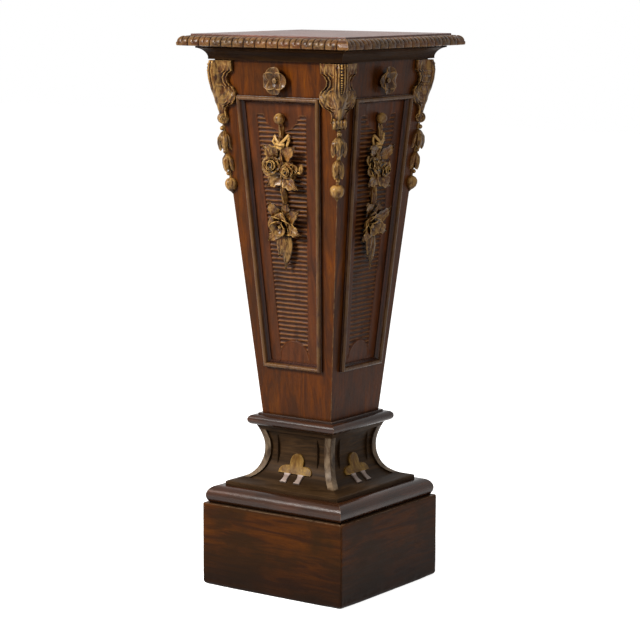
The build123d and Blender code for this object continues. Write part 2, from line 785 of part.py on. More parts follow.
pieces = [
    stem(1.0, stem_rise),
    stem(0.62, stem_rise * 1.5),
    Pos(0, down_panel(0), panel_level + ball_lift) * carved_round(ball_rings, ball_sides),
]
for side in [-1, 1]:
    bow = Rot(0, 0, side * 38) * Box(30.0, 5.0, 7.0)
    pieces.append(Pos(side * 3.0, down_panel(bow_drop), panel_level + 3.5) * bow)
for drop in tie_drops:
    pieces.append(Pos(0, down_panel(drop), panel_level + 4.5) * Box(17.0, 3.4, 9.0))
for u, drop, angle, length, width, rise in leaf_table:
    pieces.append(leaf(u, drop, angle, length, width, rise))
for u, drop, radius, rise, tilt, turn, petals in bloom_table:
    pieces.append(bloom(u, drop, radius, rise, tilt, turn, petals))
    pieces.append(twig(u, drop))
spray = pieces[0]
for piece in pieces[1:]:
    spray = spray + piece
spray = split(spray, bisect_by=Plane.XY.offset(panel_level), keep=Keep.TOP)
save_round(on_face(spray), "flower_drop", sides)
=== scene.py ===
from math import atan, cos, exp, hypot, pi, radians, sin, sqrt

import bmesh
import bpy
from bpy.props import FloatProperty, FloatVectorProperty, IntProperty, PointerProperty
from mathutils import Matrix, Vector, noise


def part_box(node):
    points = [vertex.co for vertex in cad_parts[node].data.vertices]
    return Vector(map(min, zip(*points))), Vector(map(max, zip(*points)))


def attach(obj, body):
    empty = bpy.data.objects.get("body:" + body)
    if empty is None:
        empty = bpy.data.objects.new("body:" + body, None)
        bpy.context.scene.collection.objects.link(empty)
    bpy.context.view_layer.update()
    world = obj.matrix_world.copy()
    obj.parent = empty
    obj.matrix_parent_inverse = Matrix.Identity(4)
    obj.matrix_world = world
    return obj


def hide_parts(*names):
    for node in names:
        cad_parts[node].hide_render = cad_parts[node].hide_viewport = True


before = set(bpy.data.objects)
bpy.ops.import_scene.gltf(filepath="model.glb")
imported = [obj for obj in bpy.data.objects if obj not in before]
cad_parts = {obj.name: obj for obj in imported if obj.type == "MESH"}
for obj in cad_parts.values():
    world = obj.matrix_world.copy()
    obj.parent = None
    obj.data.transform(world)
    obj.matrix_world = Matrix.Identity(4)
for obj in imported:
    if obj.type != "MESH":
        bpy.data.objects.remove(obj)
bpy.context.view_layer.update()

bl_info = {
    "name": "Carved pedestal table",
    "version": (1, 0, 0),
    "blender": (4, 5, 0),
    "location": "3D View, Sidebar, Pedestal tab",
    "description": "Dresses a carved walnut pedestal table: gadroons, reeding, flowers, consoles, finishes",
    "category": "Add Mesh",
}

# Everything is in metres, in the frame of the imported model: Z up, the front face towards -Y.
# A piece is made once for the front face or the front right corner and turned round the centre line.
mm = 0.001
root_two = sqrt(2)
sides = ["front", "right", "back", "left"]
corners = ["front_right", "back_right", "back_left", "front_left"]


# Measures read from the frame
def half_width_near(name, height, reach, across):
    """Largest distance from the centre line among a node's vertices near a height."""
    spots = [vert.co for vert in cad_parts[name].data.vertices]
    return max(abs(spot[across]) for spot in spots if abs(spot.z - height) < reach)


top_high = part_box("top_board")[1]
edge_low, edge_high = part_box("top_edge_front")
shaft_low, shaft_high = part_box("shaft_board_front")
panel_low, panel_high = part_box("reeded_panel_front")
frame_low, frame_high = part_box("panel_frame_front")
rosette_low, rosette_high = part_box("rosette_front")
console_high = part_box("corner_console_front_right")[1]
scotia_low, scotia_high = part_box("scotia_board_front")
plinth_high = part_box("plinth_board_front")[1]

# Taper of the shaft, from the feet and heads of its boards
shaft_foot = shaft_low.z
foot_half = half_width_near("shaft_board_front", shaft_foot, 1 * mm, 1)
shaft_slope = (-shaft_low.y - foot_half) / (shaft_high.z - shaft_foot)
lean = atan(shaft_slope)
face_normal = Vector((0, -cos(lean), -sin(lean)))


def shaft_half(height):
    """Half width of the shaft at a height."""
    return foot_half + shaft_slope * (height - shaft_foot)


# Panel opening, from the frame moulding round it
opening_foot_half = half_width_near("panel_frame_front", frame_low.z, 4 * mm, 0)
opening_rise = (frame_high.x - opening_foot_half) / (frame_high.z - frame_low.z)
panel_sink = 5.1 * mm


def opening_half(height):
    """Half width of the panel opening, outside its frame, at a height."""
    return opening_foot_half + opening_rise * (height - frame_low.z)


def face_point(across, height, out):
    """Point over the front face of the shaft, out from it along its normal."""
    return Vector((across, -shaft_half(height) - out * cos(lean), height - out * sin(lean)))


def rotation(degrees, axis):
    """Matrix of a turn about an axis."""
    return Matrix.Rotation(radians(degrees), 4, axis)


def face_place(across, height, out, turn=0.0, tip=0.0):
    """Matrix that stands a carved form on the panel: X along it, Y across it, Z out of the wood."""
    up = Vector((0, -sin(lean), cos(lean)))
    basis = Matrix((Vector((1, 0, 0)), up, face_normal)).transposed().to_4x4()
    spot = Matrix.Translation(face_point(across, height, out - panel_sink))
    return spot @ basis @ rotation(turn, "Z") @ rotation(-tip, "Y")


def corner_point(out, across, height):
    """Point by the front right corner: out along the diagonal, across towards the front face."""
    half = shaft_half(height)
    return Vector((half + (out - across) / root_two, -half - (out + across) / root_two, height))


def smooth_step(low, high, value):
    """Share from 0 to 1 of the way from low to high, eased at both ends."""
    share = min(1.0, max(0.0, (value - low) / (high - low)))
    return share * share * (3 - 2 * share)


def bump(value, middle, width):
    """Rounded ridge of height 1 round a middle."""
    return exp(-(((value - middle) / width) ** 2))


def between(table, value):
    """Value read off a table of (place, value) pairs, eased between its rows."""
    rows = sorted(table)
    if value <= rows[0][0]:
        return rows[0][1]
    for (start, first), (end, last) in zip(rows, rows[1:]):
        if value <= end:
            return first + (last - first) * smooth_step(start, end, value)
    return rows[-1][1]


def spread(low, high, count):
    """Evenly spaced values with both ends."""
    return [low + (high - low) * index / (count - 1) for index in range(count)]


def in_mm(pairs):
    """Profile of (radius, level) pairs in millimetres, turned into metres."""
    return [(radius * mm, level * mm) for radius, level in pairs]


def both_sides(side, middle):
    """Row of places across a face: a list for the right side, mirrored to the left of the middle."""
    return [-place for place in side[::-1]] + middle + side


# Mesh building
def sheet(bm, rows, wrap=False, paint=0):
    """Quads through rows of points, each row joined to its own start where it wraps."""
    grid = [[bm.verts.new(point) for point in row] for row in rows]
    for near, far in zip(grid, grid[1:]):
        count = len(near)
        for here in range(count if wrap else count - 1):
            ahead = (here + 1) % count
            face = bm.faces.new((near[here], near[ahead], far[ahead], far[here]))
            face.material_index = paint
    return grid


def tube(bm, rings, paint=0):
    """Closed form through rings of points, with a face over each end."""
    grid = sheet(bm, rings, True, paint)
    for ring in (grid[0][::-1], grid[-1]):
        bm.faces.new(ring).material_index = paint


def shell(bm, rows, thick):
    """Thin carved piece: a sheet of points with a back and a rim."""
    rings = []
    for i, row in enumerate(rows):
        before = rows[max(0, i - 1)]
        after = rows[min(len(rows) - 1, i + 1)]
        back = []
        for j, point in enumerate(row):
            along = after[j] - before[j]
            across = row[min(len(row) - 1, j + 1)] - row[max(0, j - 1)]
            normal = along.cross(across)
            normal.normalize()
            back.append(point - normal * thick)
        rings.append(list(row) + back[::-1])
    tube(bm, rings)


def ring_of(place, radius, level, count, ripple=0.0, ripples=0):
    """Ring of points about the Z axis of a place, waved where it has ripples."""
    points = []
    for index in range(count):
        angle = 2 * pi * index / count
        reach = radius * (1 + ripple * cos(ripples * angle))
        points.append(place @ Vector((reach * cos(angle), reach * sin(angle), level)))
    return points


def turned(bm, place, profile, count=16, ripple=0.0, ripples=0):
    """Round form turned from a profile of (radius, level) pairs."""
    tube(bm, [ring_of(place, radius, level, count, ripple, ripples) for radius, level in profile])


def mesh_of(name, bm, materials, crease=38):
    """Turns the built faces into a mesh, smooth except over sharp edges."""
    bmesh.ops.remove_doubles(bm, verts=bm.verts, dist=0.01 * mm)
    bmesh.ops.dissolve_degenerate(bm, edges=bm.edges, dist=0.005 * mm)
    bmesh.ops.recalc_face_normals(bm, faces=bm.faces)
    for face in bm.faces:
        face.smooth = True
    for edge in bm.edges:
        edge.smooth = edge.calc_face_angle(0.0) < radians(crease)
    mesh = bpy.data.meshes.new(name)
    bm.to_mesh(mesh)
    bm.free()
    for material in materials:
        mesh.materials.append(material)
    return mesh


def set_round(mesh, name, node, suffixes, slot):
    """Places a mesh and its three quarter turns, each in place of its frame node."""
    for turn, suffix in enumerate(suffixes):
        piece = bpy.data.objects.new(f"{name}_{suffix}", mesh)
        piece.rotation_euler.z = radians(90 * turn)
        bpy.context.scene.collection.objects.link(piece)
        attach(piece, "root")
        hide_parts(f"{node}_{suffix}")


# Carved blades: every leaf and petal is one
def blade(bm, place, length, width, outline, tilt, curl, cup, rib, veins, thick, fine=7):
    """Leaf or petal from its stalk along X, starting at a tilt and curling back through an angle."""
    rows = []
    steps = 12
    start = radians(tilt)
    bend = radians(curl)
    x = 0.0
    z = 0.0
    for index in range(steps + 1):
        along = index / steps
        angle = start - bend * along**1.5
        half = max(0.02, outline(along)) * width / 2
        row = []
        for step in range(-fine, fine + 1):
            side = step / fine
            drawn_back = 0.10 * length * side * side * along
            lift = cup * half * side * side + rib * bump(side, 0, 0.14)
            if veins:
                lift += 0.5 * mm * sin(2 * pi * veins * (along - 0.35 * abs(side))) * abs(side) ** 0.5
            spot = Vector((x - drawn_back - lift * sin(angle), half * side, z + lift * cos(angle)))
            row.append(place @ spot)
        rows.append(row)
        x += cos(angle) * length / steps
        z += sin(angle) * length / steps
    shell(bm, rows, thick)


def round_petal(along):
    """Outline of a broad petal, as a share of its width."""
    return sin(pi * (0.13 + 0.77 * along)) ** 0.55


def pointed_leaf(along):
    """Outline of a plain pointed leaf."""
    return sin(pi * along**0.72) ** 0.85


def lobed_leaf(along):
    """Outline of a leaf cut into three pairs of lobes."""
    lobes = 0.86 + 0.14 * cos(2 * pi * (2.6 * along - 0.80))
    return sin(pi * along**0.66) ** 0.7 * lobes


# Top edge moulding
def edge_section():
    """Points of the moulding section as (half width, height, outward lean, band)."""
    radius = 13.7 * mm
    middle = edge_low.z + 6.5 * mm
    centre = edge_high.x - radius
    inner = top_high.x - 1.7 * mm
    step_foot = middle + radius
    step_top = edge_high.z
    points = [(inner, edge_low.z, 0.0, "back"), (edge_high.x - 3 * mm, edge_low.z, 0.0, "back")]
    for height in (edge_low.z + 0.7 * mm, edge_low.z + 2 * mm, middle - 2 * mm, middle):
        points.append((edge_high.x - bump(height, edge_low.z, 1.5 * mm) * mm, height, 0.0, "lobe"))
    for share in spread(0.12, 1.0, 9):
        angle = share * pi / 2
        points.append((centre + radius * cos(angle), middle + radius * sin(angle), angle, "round"))
    points.append((inner + 4.6 * mm, step_foot, pi / 2, "round"))
    points.append((inner + 4.4 * mm, step_foot + 0.3 * mm, 0.0, "teeth"))
    points.append((inner + 4.4 * mm, step_top - 0.2 * mm, 0.0, "teeth"))
    points.append((inner + 3.8 * mm, step_top, pi / 2, "back"))
    points.append((inner, step_top, 0.0, "back"))
    return points


def gadroon_cut(x, pitch, band, half):
    """Depth carved away at a place along the moulding."""
    from_cut = pitch / 2
    if abs(x) < half - pitch * 0.3:
        from_cut = abs((x / pitch + 0.5) % 1.0 - 0.5) * pitch
    crown = (1 - from_cut / (pitch / 2)) ** 3
    cut = bump(from_cut, 0, 1.3 * mm)
    if band == "lobe":
        return 2.3 * mm * cut + 1.0 * mm * crown
    if band == "round":
        ridge = bump(pitch / 2 - from_cut, 0, 1.2 * mm)
        return 2.0 * mm * cut + 1.5 * mm * ridge + 0.7 * mm * crown
    if band == "teeth":
        return 1.3 * mm * (0.5 + 0.5 * cos(8 * pi * x / pitch))
    return 0.0


def build_top_edges(sizes):
    """Gadrooned edge mouldings with a plain lobe over each mitre."""
    reach = edge_high.x
    pitch = 2 * reach / sizes.lobes_per_side
    shift = pitch / 2 if sizes.lobes_per_side % 2 else 0.0
    shares = [-0.5] + both_sides([0.04, 0.1, 0.22, 0.36, 0.43, 0.47], [0.0])
    stations = []
    for lobe in range(sizes.lobes_per_side):
        for share in shares:
            stations.append((lobe + 0.5 + share) * pitch - reach)
    stations.append(reach)
    bm = bmesh.new()
    rings = []
    for station in stations:
        ring = []
        for half, height, turn, band in edge_section():
            x = max(-half, min(half, station))
            depth = gadroon_cut(x + shift, pitch, band, half)
            wobble = 0.25 * mm * noise.noise(Vector((x * 60, height * 50, 2.0)))
            out = half - max(0.0, depth + wobble) * cos(turn)
            x = max(-out, min(out, station))
            ring.append(Vector((x, -out, height - depth * sin(turn))))
        rings.append(ring)
    tube(bm, rings)
    return mesh_of("gadrooned_edge", bm, [carved_edge_walnut()])


# Reeded panels
def reed_wobble(across, height):
    """Unevenness left in the reeds by hand carving."""
    return 0.9 * mm * noise.noise(Vector((across * 22, height * 60, 5.0)))


def panel_depth(across, height, phase, field, sizes):
    """Height of the carved surface over the face of the panel, and how far it is a crest there, which the
    finish turns into rubbed wear and a painted highlight, and into painted shade where low.
    """
    scoop_middle = frame_high.z - 24 * mm
    arch_middle = frame_low.z + 22 * mm
    to_scoop = hypot(across, height - scoop_middle) - 46 * mm
    to_arch = hypot(across, height - arch_middle) - 36 * mm
    inside = 1 - smooth_step(-2.2 * mm, 0.2 * mm, abs(across) - field)
    inside *= smooth_step(0.0, 1.8 * mm, to_scoop)
    in_field = abs(across) < field
    lip = 0.9 * mm * bump(to_scoop, 0, 1.2 * mm) * in_field
    rim = 0.0
    if height > arch_middle - 2 * mm:
        inside *= smooth_step(0.0, 1.8 * mm, to_arch)
        rim = 1.2 * mm * bump(to_arch, -1.0 * mm, 1.1 * mm)
    hollow = -0.8 * mm * smooth_step(0, 14 * mm, -to_scoop)
    tooling = 0.12 * mm * noise.noise(Vector((across * 90, height * 90, 1.0)))
    crest = 0.8 * bump(to_scoop, 0, 0.9 * mm) * in_field + 0.6 * rim / (1.2 * mm)
    groove = 0.0
    if phase is not None:
        groove = inside * abs(sin(pi * phase)) ** 0.75
        crest += inside * cos(2 * pi * phase)
    return -sizes.reed_depth * groove + lip + rim + hollow + tooling, crest


def build_reeded_panels(sizes):
    """Tapering boards carved with close reeding, a scoop at the head and a rimmed arch at the foot."""
    bm = bmesh.new()
    # Crest share of each point: the finish makes it rubbed wear and a painted highlight on crests, painted
    # shade in furrows
    crest_wear_and_light = bm.verts.layers.float.new("crest_wear_and_light")
    first = frame_low.z + 23.5 * mm
    last = frame_high.z - 31.0 * mm
    count = int((last - first) / sizes.reed_pitch)
    levels = spread(panel_low.z + 1 * mm, first - 1 * mm, 10)
    phases = [None] * 10
    for index in range(count * 8 + 1):
        levels.append(first + index / 8 * sizes.reed_pitch)
        phases.append(index / 8)
    tail = spread(levels[-1] + 1.5 * mm, panel_high.z - 1 * mm, 16)
    levels += tail
    phases += [None] * len(tail)
    near_end = [0.92, 0.945, 0.965, 0.98, 0.994]
    rings = []
    crests = []
    for level, phase in zip(levels, phases):
        edge = opening_half(level) - 5 * mm
        field = opening_half(level) - 38.5 * mm
        margin = [field + (edge - field) * share for share in (0.012, 0.03, 0.2, 0.5, 1.0)]
        side = [field * share for share in near_end] + margin
        ring = []
        shares = []
        for across in both_sides(side, [field * share for share in spread(-0.88, 0.88, 41)]):
            drift = reed_wobble(across, level) if phase is not None else 0.0
            height = level + drift
            deep, crest = panel_depth(across, height, phase, field, sizes)
            ring.append(face_point(across, height, deep - panel_sink))
            shares.append(crest)
        ring += [face_point(edge, level, -13 * mm), face_point(-edge, level, -13 * mm)]
        rings.append(ring)
        crests.append(shares + [0.0, 0.0])
    grid = sheet(bm, rings, True)
    for verts, shares in zip(grid, crests):
        for vert, share in zip(verts, shares):
            vert[crest_wear_and_light] = share
    bm.faces.new(grid[0][::-1])
    bm.faces.new(grid[-1])
    return mesh_of("reeded_panel", bm, [reeded_walnut()], 60)


# Rosette
def build_rosettes(sizes):
    """Four cupped petals round a button."""
    bm = bmesh.new()
    middle = (rosette_low.z + rosette_high.z) / 2
    base = face_place(0, middle, panel_sink)
    radius = rosette_high.x
    seat = [(radius * 0.45, 0), (radius * 0.62, 5 * mm), (radius * 0.5, 9 * mm), (2 * mm, 9 * mm)]
    turned(bm, base, seat, 20)
    for turn in (0, 180, 90, 270):
        place = face_place(0, middle, panel_sink + 5 * mm, turn)
        veins = 3 if turn == 270 else 0
        blade(bm, place, radius * 1.18, radius * 1.36, round_petal, 34, 62, 0.34, -0.5 * mm, veins, 2.2 * mm)
    button = in_mm([(4.6, 7), (5.6, 10), (5.2, 12.4), (3.2, 14), (0.6, 14.4)])
    turned(bm, base, button, 16)
    return mesh_of("rosette", bm, [dark_carving(sizes)])


# Flower drop
ball_level = frame_high.z - 44 * mm


def drop_place(across, drop, out, turn=0.0, tip=0.0):
    """Place on the panel, in millimetres across, below the ball and out from the panel."""
    return face_place(across * mm, ball_level - drop * mm, out * mm, turn, tip)


def rose(bm, place, radius, rings):
    """Open rose of rings of petals, with their places and sizes given as shares of the radius."""
    for index, (petals, start, level, length, width, tilt, curl) in enumerate(rings):
        for petal in range(petals):
            spin = Matrix.Rotation(2 * pi * (petal + 0.5 * index) / petals + 0.4 * index, 4, "Z")
            seat = place @ spin @ Matrix.Translation((start * radius, 0, level * radius))
            size = (length * radius, width * radius)
            blade(bm, seat, *size, round_petal, tilt, curl, 0.30, 0, 0, 1.5 * mm, 5)


def whorl(bm, place, radius, level):
    """Tight spiral heart of a rose."""
    cup = [(0.8, 0), (1.0, 0.7), (0.9, 1.0), (0.72, 0.98), (0.6, 0.8)]
    for step in range(3):
        share = 1 - 0.3 * step
        spin = Matrix.Rotation(2.1 * step, 4, "Z")
        seat = place @ spin @ Matrix.Translation((-0.10 * radius * step, 0, 0))
        top = level * radius * (1 + 0.10 * step)
        rim = 0.46 * radius * share
        profile = [(rim * out, top * up) for out, up in cup] + [(0.3 * mm, top * 0.78)]
        turned(bm, seat, profile, 14, 0.05, 3)


def ribbon(bm, points, width):
    """Flat carved band through places given as (across, drop, out) in millimetres."""
    spots = []
    for across, drop, out in points:
        spots.append(face_point(across * mm, ball_level - drop * mm, out * mm - panel_sink))
    back = -face_normal * 2.4 * mm
    crown = face_normal * 0.8 * mm
    rings = []
    for index, spot in enumerate(spots):
        run = spots[min(len(spots) - 1, index + 1)] - spots[max(0, index - 1)]
        side = run.cross(face_normal).normalized() * width / 2
        rings.append([spot - side + back, spot - side, spot - side * 0.5 + crown,
                      spot + side * 0.5 + crown, spot + side, spot + side + back])
    tube(bm, rings)


def drop_stem(bm):
    """Rough stalk of the spray from the ball to the large bloom."""
    girths = [(8, 4.0), (40, 4.4), (70, 4.4), (118, 5.0), (150, 5.4), (176, 5.0), (226, 4.6)]
    lifts = [(8, 7.0), (60, 8.0), (118, 9.0), (226, 8.0)]
    rings = []
    for drop in range(8, 228, 3):
        girth = between(girths, drop)
        lift = between(lifts, drop)
        ring = []
        for index in range(24):
            angle = 2 * pi * index / 24
            bark = 1 + 0.35 * noise.noise(Vector((drop * 0.08, index * 1.3, 4.0)))
            bark *= 1 + 0.16 * sin(4 * angle + drop * 0.13)
            sway = 1.2 * sin(drop * 0.035)
            across = (girth * bark * cos(angle) + sway) * mm
            out = (lift * bark * sin(angle) + 2.0) * mm
            ring.append(face_point(across, ball_level - drop * mm, out - panel_sink))
        rings.append(ring)
    tube(bm, rings)


def leaves(bm, outline, cup, rib, veins, thick, rows):
    """Leaves given as (across, drop, out, turn, tilt, length, width, curl), in millimetres and degrees."""
    for across, drop, out, turn, tilt, length, width, curl in rows:
        place = drop_place(across, drop, out, turn)
        blade(bm, place, length * mm, width * mm, outline, tilt, curl, cup, rib, veins, thick)


def tied_bow(bm):
    """Crossed ribbon ends, two bands of the knot and two loops beside it."""
    for points in (
        [(-17, 34, 5), (-9, 42, 10), (0, 50, 12), (8, 56, 8)],
        [(19, 32, 5), (10, 42, 9), (0, 50, 11), (-10, 57, 7)],
        [(-11, 50, 9), (0, 52, 13), (10, 51, 9)],
        [(-12, 57, 9), (0, 58, 13), (8, 60, 9)],
        [(-16, 38, 4), (-20, 46, 6), (-14, 55, 5)],
        [(17, 36, 4), (19, 44, 6), (12, 55, 5)],
    ):
        ribbon(bm, points, 5.0 * mm)


def spray_leaves(bm):
    """Leaves round the roses and the large bloom, and the two long ones under it."""
    leaves(bm, lobed_leaf, 0.16, 1.2 * mm, 4, 1.8 * mm, [
        (-10, 74, 6, 146, 26, 39, 32, 46),
        (6, 78, 7, 34, 26, 46, 32, 44),
        (-4, 114, 6, 214, 24, 41, 32, 44),
        (3, 116, 7, -32, 24, 48, 34, 44),
        (-14, 196, 5, 126, 30, 38, 30, 50),
        (2, 198, 5, 70, 30, 36, 28, 48),
        (10, 206, 8, 36, 30, 46, 28, 50),
        (8, 218, 8, -22, 26, 40, 27, 50),
        (-14, 228, 8, 216, 20, 34, 22, 36),
    ])
    leaves(bm, pointed_leaf, -0.25, 1.4 * mm, 5, 2.0 * mm, [
        (-5, 232, 10, 257, 10, 50, 27, 26),
        (6, 232, 8, 264, 10, 76, 27, 24),
    ])


def two_roses(bm):
    """Left rose turned down to the left, right rose facing forward, and a bud beside it."""
    left = drop_place(-22, 95, 7, 215, 20)
    rose(bm, left, 23 * mm, [
        (5, 0.12, -0.1, 1.0, 1.15, 26, 66),
        (5, 0.1, 0.12, 0.82, 0.95, 50, 60),
        (4, 0.06, 0.2, 0.66, 0.75, 72, 50),
    ])
    whorl(bm, left, 22 * mm, 0.74)
    right = drop_place(17, 104, 9, 20, -4)
    rose(bm, right, 18.5 * mm, [
        (6, 0.14, -0.2, 1.0, 1.05, 24, 60),
        (5, 0.1, 0.1, 0.8, 0.95, 46, 54),
        (4, 0.06, 0.2, 0.66, 0.8, 66, 40),
    ])
    whorl(bm, right, 17 * mm, 0.86)
    bud = drop_place(44, 108, 5, 82) @ rotation(90, "Y")
    turned(bm, bud, in_mm([(1.0, -1), (4.6, 5), (4.4, 10), (0.8, 19)]), 10, 0.12, 4)
    ribbon(bm, [(14, 104, 4), (30, 108, 5), (44, 107, 6)], 4.5 * mm)
    ribbon(bm, [(0, 98, 5), (-14, 96, 6), (-24, 94, 6)], 5.0 * mm)


def large_bloom(bm):
    """Large bloom, a deep cup open to the upper right with a curled lip."""
    bloom = drop_place(-9, 216, 6) @ rotation(16, "X")
    rose(bm, bloom, 26 * mm, [(5, 0.16, -0.05, 1.0, 1.3, 40, 58), (4, 0.10, 0.05, 0.80, 1.1, 66, 56)])
    for turn, tilt, curl, width in ((75, 40, 96, 30), (255, 26, 70, 26)):
        seat = drop_place(-10, 215, 12, turn) @ Matrix.Translation((6 * mm, 0, 0))
        blade(bm, seat, 24 * mm, width * mm, round_petal, tilt, curl, -0.22, 0.6 * mm, 0, 2.0 * mm)
    turned(bm, bloom, in_mm([(13, -4), (15, 3), (9, 5), (0.5, 4)]), 14)
    turned(bm, bloom, in_mm([(4, 3), (4.4, 9), (2, 11), (0.3, 11)]), 10, 0.1, 5)


def build_flower_drops(sizes):
    """Carved spray: ball, tied bow, two roses with leaves, a bud, a large bloom and long leaves."""
    bm = bmesh.new()
    ball = in_mm([(11.3 * cos(turn), 7.2 + 11.3 * sin(turn)) for turn in spread(-0.6, 1.5, 9)])
    turned(bm, drop_place(0, 0, 0), ball, 20)
    drop_stem(bm)
    tied_bow(bm)
    spray_leaves(bm)
    two_roses(bm)
    large_bloom(bm)
    return mesh_of("flower_drop", bm, [rubbed_carving(sizes)])


# Corner console
scroll_level = console_high.z - 118 * mm
console_drop = console_high.z - scroll_level


def wing_edge(drop):
    """Distance of the console's edge from the corner, at a drop below its top."""
    half = shaft_half(console_high.z - drop)
    inner_edge = between([
        (0, 109.5), (20, 109.5), (21.5, 112), (27, 119), (35, 123.0), (43, 121.5), (50, 116), (54, 109),
        (62, 104), (71, 103.2), (77, 104.5), (84, 109), (87.5, 113), (91, 123), (96, 129), (102, 131),
        (110, 130), (118, 128),
    ], drop / mm)
    return half - inner_edge * mm


def nose_stand(drop):
    """Stand of the nose off the corner, along the diagonal, at a drop below the top."""
    stands = [
        (0, 7.1), (9, 10.3), (23, 12.3), (37, 12.5), (57, 11.1),
        (81, 8.2), (97, 5.6), (107, 4.4), (118, 4.0),
    ]
    return between(stands, drop / mm) * mm * root_two


def wing_relief(from_edge, drop):
    """Height of the carving on the console's side, by the distance in from its edge."""
    lobe = bump(drop, 70 * mm, 15 * mm)
    plain = bump(drop, 4 * mm, 13 * mm)
    ribs = 2.2 * mm * bump(from_edge, 1.8 * mm, 1.6 * mm) - 2.4 * mm * bump(from_edge, 5.8 * mm, 2.0 * mm)
    ribs += 2.0 * mm * bump(from_edge, 10.4 * mm, 2.2 * mm) - 2.0 * mm * bump(from_edge, 15.2 * mm, 2.2 * mm)
    ribs += 1.4 * mm * bump(from_edge, 20.0 * mm, 2.4 * mm) - 1.4 * mm * bump(from_edge, 25.0 * mm, 2.4 * mm)
    flutes = 0.9 * mm * sin(2 * pi * (drop / (15 * mm) - from_edge / (14 * mm)))
    leaf = 3.4 * mm * bump(from_edge, 11 * mm, 9 * mm) + flutes * smooth_step(0, 3 * mm, from_edge)
    return 6.2 * mm + (ribs * (1 - 0.85 * lobe) + leaf * lobe) * (1 - plain) + 1.0 * mm * plain


def console_half_section(drop):
    """Points from the middle of the nose round to the side's edge, as (out, across) off the corner."""
    front = nose_stand(drop)
    pinch = between([(0, 1.0), (44, 1.0), (68, 0.35), (76, 0.25), (118, 0.55)], drop / mm)
    channel = 1.6 * mm if drop < 60 * mm else 0.9 * mm
    rib = 5.4 * mm * pinch
    carved = [
        (front - channel, 0.0),
        (front - channel, rib * 0.55),
        (front + 0.5 * mm, rib * 0.85),
        (front + 0.7 * mm, rib * 1.1),
        (front - 0.5 * mm, rib * 1.15 + 1.3 * mm),
        (front - 3.4 * mm, rib * 0.6 + 4.2 * mm),
        (front - 4.4 * mm, rib * 0.4 + 6.8 * mm),
        (front - 3.6 * mm, rib * 0.3 + 9.2 * mm),
        (front - 5.0 * mm, 11.8 * mm),
        (front - 8.6 * mm, 12.6 * mm),
        (front - 9.6 * mm, 14.4 * mm),
    ]
    # Below the beads the nose runs out into a smooth narrow tongue
    smooth = smooth_step(54 * mm, 68 * mm, drop)
    narrow = between([(0, 1.0), (60, 1.0), (90, 0.56), (118, 0.62)], drop / mm)
    points = []
    for out, across in carved:
        tongue = front - (across / mm) ** 2 / 26 * mm
        points.append((out + (tongue - out) * smooth, across * narrow))
    reach = wing_edge(drop)
    start = min(15.5 * mm, reach * 0.55)
    for away in spread(start, reach - 0.7 * mm, 26):
        lift = wing_relief(reach - away, drop)
        points.append(((lift - away) / root_two, (away + lift) / root_two))
    for away, lift in ((reach - 0.1 * mm, 5.5 * mm), (reach, 2.5 * mm), (reach, -2 * mm)):
        points.append(((lift - away) / root_two, (away + lift) / root_two))
    return points


def beaded_column(bm):
    """Graduated beads down the channel of the nose."""
    bead = [(0.45, -0.75), (1.0, -0.3), (1.0, 0.3), (0.45, 0.75)]
    drop = 8.5
    size = 3.0
    while drop < 58:
        middle = corner_point(nose_stand(drop * mm) - 0.4 * mm, 0, console_high.z - drop * mm)
        profile = in_mm([(size * out, size * up) for out, up in bead])
        turned(bm, Matrix.Translation(middle), profile, 10)
        drop += size * 2.15
        size *= 0.93


def scroll(bm):
    """Fluted scroll at the foot of the console, with a spiral on each end."""
    radius = 11.3 * mm
    half = 13.2 * mm
    middle = 7.3 * mm * root_two - radius
    centre = corner_point(middle, 0, scroll_level)
    diagonal = Vector((1, -1, 0)) / root_two
    across = Vector((-1, -1, 0)) / root_two
    up = Vector((0, 0, 1))
    angles = [2 * pi * index / 36 for index in range(36)]

    def wheel(reach, angle):
        return centre + diagonal * reach * cos(angle) + up * reach * sin(angle)

    rings = []
    for share in spread(-1, 1, 33):
        flute = 1.25 * mm * abs(sin(2 * pi * share)) ** 0.7
        shoulder = 1.3 * mm * smooth_step(0.86, 1.0, abs(share))
        reach = radius - 1.2 * mm + flute - shoulder
        rings.append([wheel(reach, angle) + across * half * share for angle in angles])
    tube(bm, rings)
    for side in (-1, 1):
        cap = []
        for share in spread(1.0, 0.04, 12):
            ring = []
            for index, angle in enumerate(angles):
                coil = cos(2 * pi * (share * 2.3 - side * index / len(angles)))
                rise = (1.0 * mm * coil if share > 0.30 else 1.6 * mm) + 0.9 * mm * (1 - share)
                spot = wheel((radius - 1.6 * mm) * share, angle)
                ring.append(spot + across * side * (half + rise - 0.6 * mm))
            cap.append(ring)
        tube(bm, cap)


def build_corner_consoles(sizes):
    """Scrolled bracket wrapped round the corner: ribbed nose, leaf sides, beads and a fluted scroll."""
    bm = bmesh.new()
    rings = []
    for drop in spread(0.2 * mm, console_drop - 1 * mm, 110):
        half = console_half_section(drop)
        height = console_high.z - drop
        ring = [corner_point(out, -across, height) for out, across in half[::-1]]
        ring += [corner_point(out, across, height) for out, across in half[1:]]
        ring.append(corner_point(-12 * mm, 0, height))
        rings.append(ring)
    tube(bm, rings)
    beaded_column(bm)
    scroll(bm)
    # Row of small blocks under the cove
    block = in_mm([(2.0, -2.4), (2.2, 0), (2.0, 2.4)])
    for index in range(-2, 3):
        out = nose_stand(3 * mm) - abs(index) * 2.2 * mm
        spot = corner_point(out, index * 5.2 * mm, console_high.z - 3.4 * mm)
        turned(bm, Matrix.Translation(spot) @ rotation(-45, "Z"), block, 4)
    return mesh_of("corner_console", bm, [rubbed_carving(sizes)])


